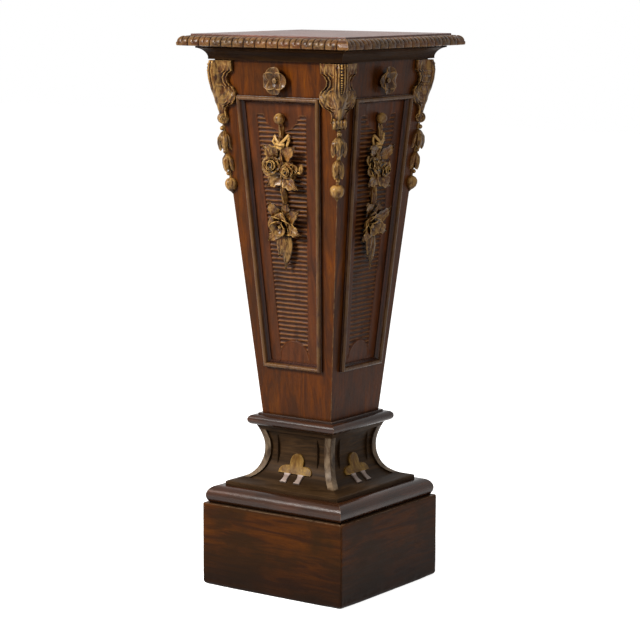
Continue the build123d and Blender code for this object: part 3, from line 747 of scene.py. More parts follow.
# Husk pendant
def string_place(drop, out=0.0):
    """Place on the string, a drop in millimetres below the scroll: X down it, Z out of the corner."""
    height = scroll_level - drop * mm
    ahead = corner_point(0, 0, height - 1 * mm) - corner_point(0, 0, height)
    down = ahead.normalized()
    side = Vector((-1, -1, 0)).normalized()
    out_way = down.cross(side).normalized()
    if out_way.x < 0:
        out_way = -out_way
    across = out_way.cross(down)
    basis = Matrix((down, across, out_way)).transposed().to_4x4()
    return Matrix.Translation(corner_point(out * mm, 0, height)) @ basis


def husk(bm, top, length, radius, leaves, turn):
    """Tulip of pointed leaves hanging round the string, ribbed down the middle of each leaf."""
    outer = []
    inner = []
    belly = [(0, 0.26), (0.12, 0.60), (0.34, 0.93), (0.58, 1.0), (0.82, 0.94), (1.0, 0.78)]
    for share in spread(0, 1, 15):
        ring = []
        lining = []
        for index in range(leaves * 12):
            angle = 2 * pi * index / (leaves * 12)
            leaf = abs(cos(leaves * (angle - turn) / 2))
            reach = length * share * (0.66 + 0.34 * leaf**0.9)
            fold = 0.78 + 0.20 * leaf**0.5 + 0.09 * bump(leaf, 1, 0.05)
            flare = 1 + 0.10 * (1 - leaf) * smooth_step(0.6, 1.0, share)
            out = radius * between(belly, share) * fold * flare
            spot = Vector((reach, out * sin(angle), out * cos(angle)))
            ring.append(string_place(top, 1) @ spot)
            within = out - 2.2 * mm
            spot = Vector((reach * 0.97, within * sin(angle), within * cos(angle)))
            lining.append(string_place(top, 1) @ spot)
        outer.append(ring)
        inner.append(lining)
    tube(bm, outer + inner[:6:-1])


def build_husk_pendants(sizes):
    """String of bead, husk and bud down the corner under the scroll."""
    bm = bmesh.new()
    spin = rotation(90, "Y")
    cord = [ring_of(string_place(drop) @ spin, 3.0 * mm, 0, 8) for drop in range(12, 152, 7)]
    tube(bm, cord)
    for drop, size in ((20, 4.9), (67.5, 4.9), (112, 4.4)):
        beads = in_mm([(size * cos(turn), size * sin(turn)) for turn in spread(-1.4, 1.4, 9)])
        turned(bm, string_place(drop, 4) @ spin, beads, 14)
    for top, bulb, depth in ((28, 11, 27), (73, 9, 25)):
        core = in_mm([(3, 0), (bulb * 0.8, 4), (bulb, 12), (bulb * 0.8, depth * 0.8), (2, depth)])
        turned(bm, string_place(top) @ spin, core, 16)
    husk(bm, 25.5, 40 * mm, 16 * mm, 5, 0.0)
    husk(bm, 71, 37 * mm, 13.6 * mm, 4, pi / 4)
    bud = in_mm([
        (3, 0), (9.5, 2.5), (13.8, 8), (14.4, 14), (12.6, 21), (8, 26.5), (4, 29.5), (2.4, 31.5), (0.8, 34),
    ])
    turned(bm, string_place(120) @ spin, bud, 40, 0.035, 5)
    return mesh_of("husk_pendant", bm, [rubbed_carving(sizes)])


# Scotia boards
waist_half = 83.2 * mm
scotia_fillet_top = scotia_low.z + 8 * mm
trefoil_paint, leg_paint, strip_paint = 1, 2, 3


def scotia_line():
    """Outer curve of the scotia from its lower fillet to its head, as (half width, height) pairs."""
    throw = scotia_high.x - waist_half
    rise = scotia_high.z - scotia_fillet_top
    shares = [(0.966, 0.011), (0.623, 0.059), (0.346, 0.139), (0.160, 0.252), (0.039, 0.412),
              (0.000, 0.571), (0.024, 0.723), (0.117, 0.882), (0.225, 1.0)]
    return [(waist_half + out * throw, scotia_fillet_top + up * rise) for out, up in shares]


def smooth_line(points, count):
    """Points along a rounded curve through the given ones."""
    line = []
    last = len(points) - 1
    for share in spread(0, last, count):
        index = min(last - 1, int(share))
        t = share - index
        before, start, end, after = (points[max(0, min(last, index + k))] for k in (-1, 0, 1, 2))
        spot = []
        for a, b, c, d in zip(before, start, end, after):
            square = (2 * a - 5 * b + 4 * c - d) * t * t
            cube = (3 * b - a - 3 * c + d) * t**3
            spot.append(0.5 * (2 * b + (c - a) * t + square + cube))
        line.append(tuple(spot))
    return line


def half_on(line, height):
    """Half width of a curve at a height."""
    for (here, low), (ahead, high) in zip(line, line[1:]):
        if height <= high:
            return here + (ahead - here) * (height - low) / (high - low)
    return line[-1][0]


def scotia_point(line, across, height, sunk):
    """Point on the front scotia board, sunk below its hollow face."""
    upright = min(1.0, max(0.25, (height - scotia_fillet_top) / (30 * mm)))
    return Vector((across, -(half_on(line, height) - sunk * upright), height - sunk * (1 - upright) * 0.9))


def trefoil_half(up):
    """Half width of the trefoil, in millimetres, at a height above its foot line."""
    centre = 16.5 if up < 23 else 16.5 * sqrt(max(0.0, 1 - ((up - 23) / 17) ** 2))
    side = 22 + 19 * sqrt(max(0.0, 1 - ((up - 3) / 12) ** 2)) if up < 15 else 0.0
    return max(centre, side)


def plaque(bm, line, rows, paint):
    """Flat raised shape on the scotia through rows of (height, left, right), rounded at its rim."""
    rings = []
    for height, left, right in rows:
        ring = []
        for share in spread(0, 1, 15):
            rim = 0.9 * mm * (abs(2 * share - 1) ** 14)
            ring.append(scotia_point(line, left + (right - left) * share, height, 0.3 * mm + rim))
        ring += [scotia_point(line, right, height, 6 * mm), scotia_point(line, left, height, 6 * mm)]
        rings.append(ring)
    tube(bm, rings, paint)


def hollow_board(bm, line):
    """Board with a hollow face, a field sunk between its corner strips, a fillet at its foot and a back."""
    depth = 5.2 * mm
    margin = 15.5 * mm
    low_end = scotia_fillet_top + 8 * mm
    high_end = scotia_high.z - 11 * mm
    field_ends = [low_end, low_end + 1.4 * mm, high_end, high_end - 1.0 * mm]
    heights = sorted([height for half, height in line] + field_ends)
    grid = []
    for height in heights:
        half = half_on(line, height)
        inner = half - margin
        side = [inner + 0.3 * mm, inner + 1.5 * mm, inner + margin / 2, half - 1.5 * mm, half]
        row = []
        for across in both_sides(side, [inner * share for share in spread(-0.993, 0.993, 61)]):
            in_field = abs(across) < inner and low_end + 1 * mm < height < high_end - 0.5 * mm
            tool = 0.45 * mm * noise.noise(Vector((across * 35, height * 90, 3.0)))
            crest_share = 0.5 * mm * bump(abs(across), half, 1.2 * mm)
            row.append(scotia_point(line, across, height, depth + tool if in_field else crest_share))
        grid.append(row)
    wide = scotia_high.x / abs(grid[0][-1].x)
    fillet = []
    for height in (scotia_low.z, scotia_fillet_top):
        fillet.append([Vector((point.x * wide, -scotia_high.x, height)) for point in grid[0]])
    # Back and foot, closed behind the face
    back = [[Vector((p.x * 0.6, -50 * mm, z)) for p in grid[0]] for z in (scotia_high.z, scotia_low.z)]
    sheet(bm, [back[1], *fillet, *grid, *back])
    for face in bm.faces:
        spot = face.calc_center_median()
        from_mitre = half_on(line, spot.z) - abs(spot.x)
        if from_mitre < margin and scotia_fillet_top + 9 * mm < spot.z < scotia_high.z - 10 * mm:
            face.material_index = strip_paint


def trefoil(bm, line):
    """Raised trefoil on two curved legs."""
    foot_line = scotia_fillet_top + 25 * mm
    rows = []
    for up in spread(0, 39.9, 60):
        half = trefoil_half(up) * mm
        rows.append((foot_line + up * mm, -half, half))
    plaque(bm, line, rows, trefoil_paint)
    for side in (-1, 1):
        rows = []
        for down in spread(-0.5, 14.5, 20):
            near = sqrt(11.5**2 - (down - 7.5) ** 2) * mm
            far = (35 - sqrt(12.5**2 - (down - 7.5) ** 2)) * mm
            rows.append((foot_line - down * mm, *sorted((side * near, side * far))))
        plaque(bm, line, rows[::-1], leg_paint)


def build_scotia_boards(sizes):
    """Hollow-curved boards with a sunk field between corner strips and a raised trefoil."""
    bm = bmesh.new()
    line = smooth_line(scotia_line(), 84)
    hollow_board(bm, line)
    trefoil(bm, line)
    finishes = [dull_base_walnut(), rubbed_trefoil(sizes), pale_worn_walnut(), rubbed_strip()]
    return mesh_of("scotia_board", bm, finishes, 42)


# Plinth boards
def build_plinth_boards(sizes):
    """Mitred boards with a worn arris and a lower edge rounded and chipped by years on the floor."""
    bm = bmesh.new()
    reach = plinth_high.x
    shares = [sin(share * pi / 2) for share in spread(-1, 1, 61)]
    rows = []
    for height in [0.0, *spread(0.6 * mm, 12 * mm, 12), *spread(20 * mm, plinth_high.z - 3 * mm, 16),
                   plinth_high.z - 1.2 * mm, plinth_high.z]:
        foot = 8.5 * mm * (1 - sqrt(max(0.0, 1 - (1 - min(1.0, height / (9 * mm))) ** 2)))
        head = 0.8 * mm * bump(height, plinth_high.z, 1.5 * mm)
        row = []
        for share in shares:
            from_end = 1 - abs(share)
            dents = noise.noise(Vector((share * reach * 90, height * 130, 7.0)))
            low_down = bump(height, 4 * mm, 14 * mm)
            chip = 2.4 * mm * max(0.0, dents - 0.15) * low_down * smooth_step(0, 0.01, from_end)
            arris = 1.3 * mm * bump(from_end * reach, 0, 1.6 * mm)
            low = foot * (0.55 + 0.45 * bump(from_end * reach, 0, 40 * mm))
            out = reach - low - head - chip - arris
            row.append(Vector((share * out, -out, height)))
        rows.append(row)
    back = []
    for height in (0.0, plinth_high.z):
        back.append([Vector((point.x * 0.9, -0.9 * reach, height)) for point in rows[0]])
    sheet(bm, [back[0], *rows, *back[::-1]])
    return mesh_of("plinth_board", bm, [plinth_walnut(sizes)], 50)


# Materials
def linear(hex_colour):
    """Linear colour with full alpha from an sRGB hex colour."""
    parts = [int(hex_colour[place:place + 2], 16) / 255 for place in (1, 3, 5)]
    return [part / 12.92 if part <= 0.04045 else ((part + 0.055) / 1.055) ** 2.4 for part in parts] + [1.0]


def node(tree, kind, inputs=None, **settings):
    """Adds a shader node with its settings, sets or links its inputs, and gives back its outputs."""
    made = tree.nodes.new("ShaderNode" + kind)
    for name, value in settings.items():
        setattr(made, name, value)
    for name, value in (inputs or {}).items():
        if isinstance(value, bpy.types.NodeSocket):
            tree.links.new(value, made.inputs[name])
        else:
            made.inputs[name].default_value = value
    return made.outputs


def wood_patterns(tree, place, axis, patch):
    """Noise of walnut drawn out along the grain: figure, streaks, pores, clouds and patches that break up
    wear and painted highlights.
    """
    patterns = {}
    # Each pattern with its width and length in millimetres, detail and twist
    for pattern, across, along, detail, twist in (
        ("figure", 16, 150, 5, 0.9),
        ("streaks", 3.2, 60, 4, 0.2),
        ("pores", 1.3, 14, 2, 0.0),
        ("clouds", 90, 130, 3, 0.3),
        ("patches", patch, 2.4 * patch, 4, 0.5),
    ):
        stretch = [1.0, 1.0, 1.0]
        stretch["XYZ".index(axis)] = across / along
        spot = node(tree, "Mapping", {"Vector": place, "Scale": stretch})[0]
        inputs = {"Vector": spot, "Scale": 1 / (across * mm), "Detail": detail, "Roughness": 0.6}
        patterns[pattern] = node(tree, "TexNoise", inputs | {"Distortion": twist})["Fac"]
    return patterns


def stand_over_shaft(tree, parts):
    """How far a place stands out from the face of the shaft, the same on all four sides."""
    across = node(tree, "Math", {0: parts[0]}, operation="ABSOLUTE")[0]
    along = node(tree, "Math", {0: parts[1]}, operation="ABSOLUTE")[0]
    far = node(tree, "Math", {0: across, 1: along}, operation="MAXIMUM")[0]
    foot = foot_half - shaft_slope * shaft_foot
    face = node(tree, "Math", {0: parts[2], 1: shaft_slope, 2: foot}, operation="MULTIPLY_ADD")[0]
    return node(tree, "Math", {0: far, 1: face}, operation="SUBTRACT")[0]


def layered(tree, base, layers):
    """Colour with layers over it, each a colour and its masks as (value, start, full, most)."""
    for colour, masks in layers:
        share = 1.0
        for value, start, full, most in masks:
            inputs = {"Value": value, "From Min": start, "From Max": full, "To Min": 0.0, "To Max": most}
            part = node(tree, "MapRange", inputs, interpolation_type="SMOOTHSTEP")[0]
            share = node(tree, "Math", {0: part, 1: share}, operation="MULTIPLY")[0]
        base = node(tree, "Mix", {0: share, 6: base, 7: colour}, data_type="RGBA")[2]
    return base


def walnut(name, tones, axis="Z", rough=0.42, gloss=0.2, grain=0.35, blotch=0.35, edges=0.6, rim=1.6 * mm,
           highs=0.0, ridges=0.0, crests=0.0, bead=0.0, darker_to_foot=0.0, near=9 * mm, hollow_shade=0.8, patch=9):
    """Walnut in four tones, dark to rubbed: drawn-out grain, painted shade in hollows, rubbed wear with a
    painted highlight on high places.
    """
    made = bpy.data.materials.get(name)
    if made:
        return made
    made = bpy.data.materials.new(name)
    made.use_nodes = True
    tree = made.node_tree
    tree.nodes.clear()
    # Fourth tone: rubbed wear on edges and high places, and there also a painted highlight
    dark, mid, light, rubbed_and_highlight = [linear(tone) if isinstance(tone, str) else [*tone, 1.0] for tone in tones]
    # Near-black stain: real in the pores, and painted shade where the layers below lay it in hollows,
    # furrows and quirks
    stain_and_shade = linear("#150b06")
    olive = linear("#2a1a09")
    place = node(tree, "TexCoord")["Object"]
    noises = wood_patterns(tree, place, axis, patch)
    surface = node(tree, "NewGeometry")
    open_share = node(tree, "AmbientOcclusion", {"Distance": near}, samples=6)["AO"]
    rounded = node(tree, "Bevel", {"Radius": rim}, samples=4)[0]
    turn = node(tree, "VectorMath", {0: rounded, 1: surface["Normal"]}, operation="DOT_PRODUCT")["Value"]
    patches = (noises["patches"], 0.36, 0.64, 1.0)
    layers = [
        (mid, [(noises["figure"], 0.36, 0.60, 1.0)]),
        (light, [(noises["figure"], 0.56, 0.80, 1.0)]),
        (dark, [(noises["streaks"], 0.66, 0.40, grain)]),
        (stain_and_shade, [(noises["pores"], 0.42, 0.30, 0.35)]),
        (olive, [(noises["clouds"], 0.60, 0.38, blotch)]),
        (rubbed_and_highlight, [(turn, 0.97, 0.80, edges), (open_share, 0.45, 0.8, 1.0), patches]),
    ]
    # Rubbed wear with a painted highlight on open high places
    if highs:
        layers.append((rubbed_and_highlight, [(open_share, 0.80, 1.0, highs), patches]))
    # Painted shade in concave creases, and rubbed wear with a painted highlight on sharp ridges, from the
    # pointiness
    if ridges:
        sharp = (surface["Pointiness"], 0.51, 0.62, ridges)
        layers.append((stain_and_shade, [(surface["Pointiness"], 0.49, 0.40, hollow_shade)]))
        layers.append((rubbed_and_highlight, [sharp, (noises["patches"], 0.3, 0.5, 1.0)]))
    # Reeding: painted shade in the furrows, and rubbed wear with a painted highlight on the crests
    if crests:
        crest_share = node(tree, "Attribute", attribute_name="crest_wear_and_light")["Fac"]
        layers.append((stain_and_shade, [(crest_share, 0.1, -0.9, hollow_shade)]))
        layers.append((rubbed_and_highlight, [(crest_share, 0.35, 0.95, crests), (noises["patches"], 0.25, 0.6, 1.0)]))
    parts = node(tree, "SeparateXYZ", {0: place})
    # Frame bead: rubbed tan crest with a painted highlight, and painted shadow in the quirk at its foot
    if bead:
        stand = stand_over_shaft(tree, parts)
        layers.append((rubbed_and_highlight, [(stand, 2.5 * mm, 5.0 * mm, bead), (noises["patches"], 0.2, 0.6, 1.0)]))
        layers.append((stain_and_shade, [(stand, 2.0 * mm, 0.5 * mm, 0.8), (stand, -1.5 * mm, 0.5 * mm, 1.0)]))
    # Painted shade: darker where ambient occlusion finds the surface closed in, in hollows and beside other
    # parts
    layers.append((stain_and_shade, [(open_share, 0.80, 0.25, hollow_shade)]))
    # Darker towards the foot of the piece, from 120 mm high down
    if darker_to_foot:
        layers.append((stain_and_shade, [(parts[2], 120 * mm, 5 * mm, darker_to_foot)]))
    base = layered(tree, dark, layers)
    limits = {"From Min": 0.3, "From Max": 0.7, "To Min": rough - 0.06, "To Max": rough + 0.08}
    inputs = {"Value": noises["streaks"]} | limits
    dull = node(tree, "MapRange", inputs, interpolation_type="SMOOTHSTEP")[0]
    height = node(tree, "Math", {0: noises["pores"], 1: noises["streaks"]}, operation="ADD")[0]
    uneven = node(tree, "Bump", {"Height": height, "Strength": 0.3, "Distance": 0.5 * mm})[0]
    inputs = {"Base Color": base, "Roughness": dull, "IOR": 1.5, "Specular IOR Level": gloss}
    shader = node(tree, "BsdfPrincipled", inputs | {"Normal": uneven})[0]
    node(tree, "OutputMaterial", {"Surface": shader})
    return made


def top_walnut():
    """French polished walnut, dulled by use: an even reddish brown with a soft pink sheen."""
    tones = ["#552a18", "#7a4430", "#8f5a44", "#a88468"]
    return walnut("walnut_top_french_polished", tones, "X", 0.36, 0.4, blotch=0.3, edges=0.5)


def carved_edge_walnut():
    """Carved and waxed walnut, rubbed back on the lobes with a painted highlight: brown wood between cuts
    darkened by painted shade.
    """
    tones = ["#2c170a", "#5a2f10", "#74481b", "#b88c52"]
    return walnut("walnut_edge_carved", tones, "X", 0.30, 0.16, edges=0.5, highs=0.25, ridges=0.6,
                  near=5 * mm, hollow_shade=0.9, patch=7)


def moulding_walnut(axis, sizes):
    """Run moulding, stained and waxed: dark red brown with a soft shine along its rounds."""
    tones = ["#2a150b", sizes.dark_stain, "#5c3217", "#9a7a5e"]
    return walnut(f"walnut_moulding_waxed_{axis}", tones, axis, 0.25, 0.24, edges=0.5)


def cove_walnut(axis):
    """Run hollow moulding under the top: old dark stain, dull with dust and wax."""
    tones = ["#221106", "#3a240e", "#4a2e13", "#6e5232"]
    return walnut(f"walnut_cove_stained_{axis}", tones, axis, 0.45, 0.03, edges=0.35)


def shaft_walnut(sizes):
    """Stained and polished walnut board: red-brown with orange lights along an upright grain."""
    tones = ["#3f1e07", sizes.shaft_tone, "#7a4209", "#a37a4c"]
    return walnut("walnut_shaft_polished", tones, "Z", 0.32, 0.08, grain=0.3, edges=0.75, near=8 * mm)


def reeded_walnut():
    """Carved and stained walnut: furrows darkened by painted shade, dull brown crests left by the gouge,
    rubbed and with a painted highlight.
    """
    tones = ["#3f1f0c", "#5e3013", "#6e3e19", "#8e6238"]
    return walnut("walnut_panel_reeded", tones, "Z", 0.34, 0.1, grain=0.3, edges=0.3, crests=0.7,
                  near=5 * mm, hollow_shade=0.75, patch=14)


def frame_walnut():
    """Bolection moulding: a bead rubbed back to tan with a painted highlight, over a quirk darkened by
    painted shadow, and a purple brown slope.
    """
    tones = ["#33190f", "#4c2b20", "#5c3829", "#7e5a2c"]
    return walnut("walnut_frame_rubbed", tones, "Z", 0.28, 0.16, edges=0.4, bead=0.5, hollow_shade=0.9, patch=14)


def rubbed_carving(sizes):
    """Carved walnut toned golden on the high places by rubbed wear and a painted highlight, with painted
    shade darkening every hollow.
    """
    tones = ["#2e1504", "#62350d", "#865014", sizes.rubbed_gold_and_highlight]
    return walnut("walnut_carving_rubbed", tones, "Z", 0.25, 0.17, grain=0.15, edges=0.4, highs=0.45,
                  ridges=0.85, near=8 * mm, hollow_shade=0.97, patch=7)


def dark_carving(sizes):
    """Carved walnut of the rosettes, stained darker: brown petals, rims paled by wear and a painted
    highlight, and hollows near-black with painted shade.
    """
    tones = ["#2a1506", sizes.rosette_tone, "#744614", "#c29862"]
    return walnut("walnut_rosette_stained", tones, "Z", 0.25, 0.14, grain=0.15, edges=0.3, highs=0.20,
                  ridges=0.7, near=12 * mm, hollow_shade=0.97, patch=8)


def dull_base_walnut():
    """Old dark stain under dull wax: brown black with a greenish cast in the hollow, deepened there by
    painted shade.
    """
    tones = ["#281c10", "#483421", "#584329", "#75583c"]
    return walnut("walnut_base_dull", tones, "X", 0.42, 0.04, blotch=0.5, near=14 * mm, hollow_shade=0.95)


def rubbed_strip():
    """Corner strip of the base, worn pale in patches through its stain."""
    tones = ["#2f2114", "#4a3522", "#5c4630", "#a08a70"]
    return walnut("walnut_strip_worn", tones, "Z", 0.40, 0.12, edges=0.7, highs=0.5, patch=22)


def rubbed_trefoil(sizes):
    """Flat carving rubbed to bare golden wood, its grain upright."""
    tones = ["#5e3e14", sizes.bare_wood, "#ad8542", "#c9a764"]
    return walnut("walnut_trefoil_rubbed", tones, "Z", 0.42, 0.1, grain=0.7, highs=0.15, hollow_shade=0.9)


def pale_worn_walnut():
    """Wood worn pale where hands and brushes reach it."""
    tones = ["#a08a7e", "#c4b0a6", "#d0c0b8", "#dad0c8"]
    return walnut("walnut_worn_pale", tones, "X", 0.4, 0.15, edges=0.2, highs=0.1, hollow_shade=0.5, patch=6)


def plinth_walnut(sizes):
    """Scuffed plinth board: dark stain, straight grain along the board and chipped pale edges."""
    tones = ["#331a0a", sizes.plinth_tone, "#68390d", "#9c8064"]
    return walnut("walnut_plinth_scuffed", tones, "X", 0.40, 0.05, grain=0.22, blotch=0.75, edges=0.8,
                  ridges=0.3, rim=2.4 * mm, darker_to_foot=0.75, patch=6)


def plain_inner_wood():
    """Unfinished pine, sawn: pale yellow brown and matt."""
    tones = ["#7a5c3a", "#a07c52", "#b8946a", "#c4a47c"]
    return walnut("pine_sawn_unfinished", tones, "X", 0.75, 0.2, edges=0.1, hollow_shade=0.5)


def dress(name, material):
    """Gives a frame node its finish."""
    node_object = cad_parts[name]
    node_object.data.materials.clear()
    node_object.data.materials.append(material)


# Settings that a user would change
def tone(name, description, hex_colour):
    """Colour setting that starts at an sRGB hex colour."""
    start = linear(hex_colour)[:3]
    limits = {"min": 0, "max": 1, "size": 3, "subtype": "COLOR"}
    return FloatVectorProperty(name=name, description=description, default=start, **limits)


class PedestalSizes(bpy.types.PropertyGroup):
    """Sizes of the carving and the light of the picture."""

    lobes_per_side: IntProperty(name="Lobes per side", description="Gadroons per edge", default=15, min=7)
    reed_pitch: FloatProperty(name="Reed pitch", description="Height of one reed", default=9.2 * mm,
                              unit="LENGTH")
    reed_depth: FloatProperty(name="Reed depth", description="Depth of the furrows", default=2.8 * mm,
                              unit="LENGTH")
    shaft_tone: tone("Shaft", "Main tone of the shaft boards", "#5f2f07")
    dark_stain: tone("Dark stain", "Main tone of the run mouldings", "#44230f")
    # Tone of the rubbed wear and of the painted highlight on the carving
    rubbed_gold_and_highlight: tone("Rubbed gold", "High places of the carving", "#d6a860")
    bare_wood: tone("Bare wood", "Main tone of the trefoils", "#94702f")
    rosette_tone: tone("Rosettes", "Main tone of the rosettes", "#5a340f")
    plinth_tone: tone("Plinth", "Main tone of the plinth boards", "#4f2a0c")
    backdrop: tone("Backdrop", "Colour seen behind the table", "#ffffff")
    key_power: FloatProperty(name="Key light", description="Power of the large lamp", default=245,
                             unit="POWER")
    fill: FloatProperty(name="Fill", description="Strength of the light all round", default=0.15, min=0)


def sizes_of(context):
    """Settings kept with the scene."""
    return context.scene.pedestal_sizes


class PEDESTAL_OT_plain_boards(bpy.types.Operator):
    """Finish the plain boards and mouldings of the frame"""

    bl_idname = "pedestal.plain_boards"
    bl_label = "Finish plain boards"

    def execute(self, context):
        sizes = sizes_of(context)
        dress("top_board", top_walnut())
        for index, side in enumerate(sides):
            axis = "XY"[index % 2]
            dress(f"cove_moulding_{side}", cove_walnut(axis))
            dress(f"neck_moulding_{side}", moulding_walnut(axis, sizes))
            dress(f"torus_moulding_{side}", moulding_walnut(axis, sizes))
            dress(f"shaft_board_{side}", shaft_walnut(sizes))
            dress(f"panel_frame_{side}", frame_walnut())
        for name in ("top_cleat_board", "neck_deck", "base_deck", "plinth_glue_blocks"):
            dress(name, plain_inner_wood())
        return {"FINISHED"}


class Carving:
    """Step that builds one form and sets it round the table in place of its frame nodes."""

    def execute(self, context):
        set_round(self.build(sizes_of(context)), *self.places)
        return {"FINISHED"}


class PEDESTAL_OT_top_edges(Carving, bpy.types.Operator):
    """Carve the gadrooned edge mouldings"""

    bl_idname = "pedestal.top_edges"
    bl_label = "Carve top edges"
    build = staticmethod(build_top_edges)
    places = ("gadrooned_edge", "top_edge", sides, "walnut_edge")


class PEDESTAL_OT_reeded_panels(Carving, bpy.types.Operator):
    """Carve the reeded panels"""

    bl_idname = "pedestal.reeded_panels"
    bl_label = "Carve reeded panels"
    build = staticmethod(build_reeded_panels)
    places = ("reeded_board", "reeded_panel", sides, "walnut_panel")


class PEDESTAL_OT_rosettes(Carving, bpy.types.Operator):
    """Carve the rosettes on the frieze"""

    bl_idname = "pedestal.rosettes"
    bl_label = "Carve rosettes"
    build = staticmethod(build_rosettes)
    places = ("frieze_rosette", "rosette", sides, "walnut_carving")


class PEDESTAL_OT_flower_drops(Carving, bpy.types.Operator):
    """Carve the flower drops"""

    bl_idname = "pedestal.flower_drops"
    bl_label = "Carve flower drops"
    build = staticmethod(build_flower_drops)
    places = ("carved_spray", "flower_drop", sides, "walnut_carving")


class PEDESTAL_OT_corner_consoles(Carving, bpy.types.Operator):
    """Carve the corner consoles"""

    bl_idname = "pedestal.corner_consoles"
    bl_label = "Carve corner consoles"
    build = staticmethod(build_corner_consoles)
    places = ("scrolled_console", "corner_console", corners, "walnut_carving")


class PEDESTAL_OT_husk_pendants(Carving, bpy.types.Operator):
    """Carve the husk pendants"""

    bl_idname = "pedestal.husk_pendants"
    bl_label = "Carve husk pendants"
    build = staticmethod(build_husk_pendants)
    places = ("husk_string", "husk_pendant", corners, "walnut_carving")


class PEDESTAL_OT_scotia_boards(Carving, bpy.types.Operator):
    """Carve the scotia boards"""

    bl_idname = "pedestal.scotia_boards"
    bl_label = "Carve scotia boards"
    build = staticmethod(build_scotia_boards)
    places = ("carved_scotia", "scotia_board", sides, "walnut_base")


class PEDESTAL_OT_plinth_boards(Carving, bpy.types.Operator):
    """Shape the worn plinth boards"""

    bl_idname = "pedestal.plinth_boards"
    bl_label = "Shape plinth boards"
    build = staticmethod(build_plinth_boards)
    places = ("worn_plinth", "plinth_board", sides, "walnut_plinth")


# Camera and light
camera_turn = radians(35.41)
camera_distance = 4.814
camera_height = 1.283
camera_pitch = radians(-8.65)
camera_roll = radians(0.20)
image_width = 640
focal_pixels = 2353
axis_column = 321.2
floor_reach = 12
floor_glow = 0.8
lamp_aim = (0, 0, 0.7)
side_share = 0.15


def backdrop_share(tree):
    """Share that is 1 for the rays that look at the backdrop, straight or by way of a shine."""
    rays = node(tree, "LightPath")
    polished = {0: rays["Is Glossy Ray"], 1: rays["Is Transmission Ray"]}
    shine = node(tree, "Math", polished, operation="MAXIMUM")[0]
    return node(tree, "Math", {0: rays["Is Camera Ray"], 1: shine}, operation="MAXIMUM")[0]


def pale_floor(colour):
    """Matt pale paint, seen lifted towards white with its shadows kept, and grey in the light it gives."""
    made = bpy.data.materials.new("pale_floor")
    made.use_nodes = True
    tree = made.node_tree
    tree.nodes.clear()
    paint = node(tree, "BsdfDiffuse", {"Color": [*colour, 1.0]})[0]
    lift = node(tree, "Emission", {"Color": [*colour, 1.0], "Strength": floor_glow})[0]
    both = node(tree, "AddShader", {0: paint, 1: lift})[0]
    grey = node(tree, "BsdfDiffuse", {"Color": linear("#82807d")})[0]
    shown = node(tree, "MixShader", {0: backdrop_share(tree), 1: grey, 2: both})[0]
    node(tree, "OutputMaterial", {"Surface": shown})
    return made


def area_light(name, spot, size, power, colour):
    """Large soft lamp aimed at the upper part of the shaft."""
    lamp = bpy.data.lights.new(name, "AREA")
    lamp.shape = "RECTANGLE"
    lamp.size = size[0]
    lamp.size_y = size[1]
    lamp.energy = power
    lamp.color = colour
    holder = bpy.data.objects.new(name, lamp)
    holder.location = spot
    holder.rotation_euler = (Vector(lamp_aim) - Vector(spot)).to_track_quat("-Z", "Y").to_euler()
    bpy.context.scene.collection.objects.link(holder)


def set_camera():
    """Camera at the photograph's angle."""
    back = Vector((sin(camera_turn), -cos(camera_turn), 0))
    right = Vector((cos(camera_turn), sin(camera_turn), 0))
    up = back * sin(camera_pitch) + Vector((0, 0, cos(camera_pitch)))
    ahead = -back * cos(camera_pitch) + Vector((0, 0, sin(camera_pitch)))
    side = right * cos(camera_roll) + up * sin(camera_roll)
    above = up * cos(camera_roll) - right * sin(camera_roll)
    data = bpy.data.cameras.new("camera")
    data.sensor_width = 36
    data.lens = focal_pixels / image_width * data.sensor_width
    data.shift_x = (image_width / 2 - axis_column) / image_width
    camera = bpy.data.objects.new("camera", data)
    camera.matrix_world = Matrix((side, above, -ahead)).transposed().to_4x4()
    camera.location = back * camera_distance + Vector((0, 0, camera_height))
    bpy.context.scene.collection.objects.link(camera)
    bpy.context.scene.camera = camera


def set_world(colour, fill):
    """White to the camera, soft grey light to the object."""
    world = bpy.data.worlds.new("soft_room")
    bpy.context.scene.world = world
    world.use_nodes = True
    tree = world.node_tree
    tree.nodes.clear()
    white = node(tree, "Background", {"Color": [*colour, 1.0], "Strength": 1.0})[0]
    way = node(tree, "SeparateXYZ", {0: node(tree, "TexCoord")["Generated"]})["Z"]
    inputs = {"Value": way, "From Min": -0.1, "From Max": 0.9, "To Min": 0.35 * fill, "To Max": 2.2 * fill}
    level = node(tree, "MapRange", inputs)[0]
    soft = node(tree, "Background", {"Color": linear("#fffcfa"), "Strength": level})[0]
    shown = node(tree, "MixShader", {0: backdrop_share(tree), 1: soft, 2: white})[0]
    node(tree, "OutputWorld", {"Surface": shown})


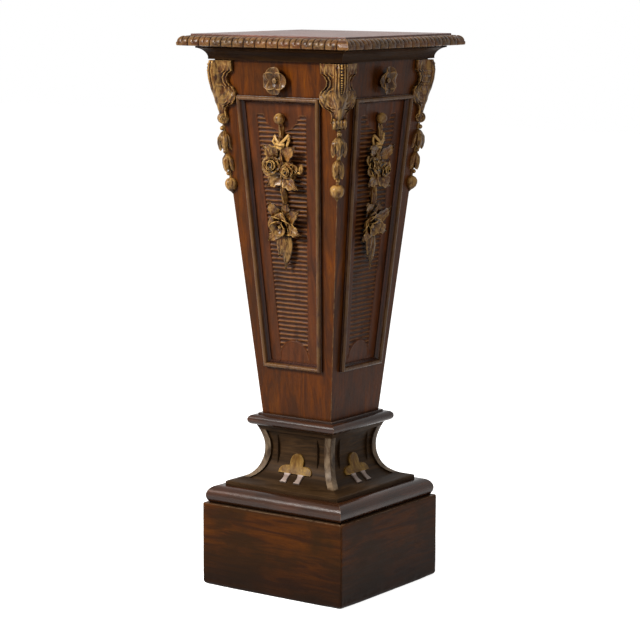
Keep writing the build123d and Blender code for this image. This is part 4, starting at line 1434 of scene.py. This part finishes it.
class PEDESTAL_OT_stage(bpy.types.Operator):
    """Set the floor, the lamps, the world and the camera"""

    bl_idname = "pedestal.stage"
    bl_label = "Set the stage"

    def execute(self, context):
        sizes = sizes_of(context)
        bm = bmesh.new()
        grid = spread(-floor_reach, floor_reach, 5)
        sheet(bm, [[Vector((x, y, 0)) for x in grid] for y in grid])
        floor = bpy.data.objects.new("floor", mesh_of("floor", bm, [pale_floor(sizes.backdrop)]))
        context.scene.collection.objects.link(floor)
        side_power = sizes.key_power * side_share
        area_light("key", (-1.7, -3.2, 2.9), (1.2, 1.2), sizes.key_power, (1.0, 0.97, 0.93))
        area_light("side", (3.4, -1.6, 1.9), (1.4, 2.0), side_power, (1.0, 0.98, 0.96))
        set_world(list(sizes.backdrop), sizes.fill)
        set_camera()
        context.scene.view_settings.view_transform = "Standard"
        return {"FINISHED"}


class PEDESTAL_PT_sidebar(bpy.types.Panel):
    """Steps that dress the table, in order"""

    bl_idname = "PEDESTAL_PT_sidebar"
    bl_label = "Carved pedestal table"
    bl_space_type = "VIEW_3D"
    bl_region_type = "UI"
    bl_category = "Pedestal"

    def draw(self, context):
        for name in PedestalSizes.__annotations__:
            self.layout.prop(sizes_of(context), name)
        for step in steps:
            self.layout.operator(step.bl_idname)


steps = [
    PEDESTAL_OT_plain_boards,
    PEDESTAL_OT_top_edges,
    PEDESTAL_OT_reeded_panels,
    PEDESTAL_OT_rosettes,
    PEDESTAL_OT_flower_drops,
    PEDESTAL_OT_corner_consoles,
    PEDESTAL_OT_husk_pendants,
    PEDESTAL_OT_scotia_boards,
    PEDESTAL_OT_plinth_boards,
    PEDESTAL_OT_stage,
]


def register():
    """Adds the settings, the steps and the sidebar."""
    for kind in [PedestalSizes, *steps, PEDESTAL_PT_sidebar]:
        bpy.utils.register_class(kind)
    bpy.types.Scene.pedestal_sizes = PointerProperty(type=PedestalSizes)


def unregister():
    """Takes the settings, the steps and the sidebar away."""
    del bpy.types.Scene.pedestal_sizes
    for kind in [PEDESTAL_PT_sidebar, *reversed(steps), PedestalSizes]:
        bpy.utils.unregister_class(kind)


def main():
    """Runs each step in order."""
    register()
    for step in steps:
        group, action = step.bl_idname.split(".")
        getattr(getattr(bpy.ops, group), action)()


if __name__ == "__main__":
    main()
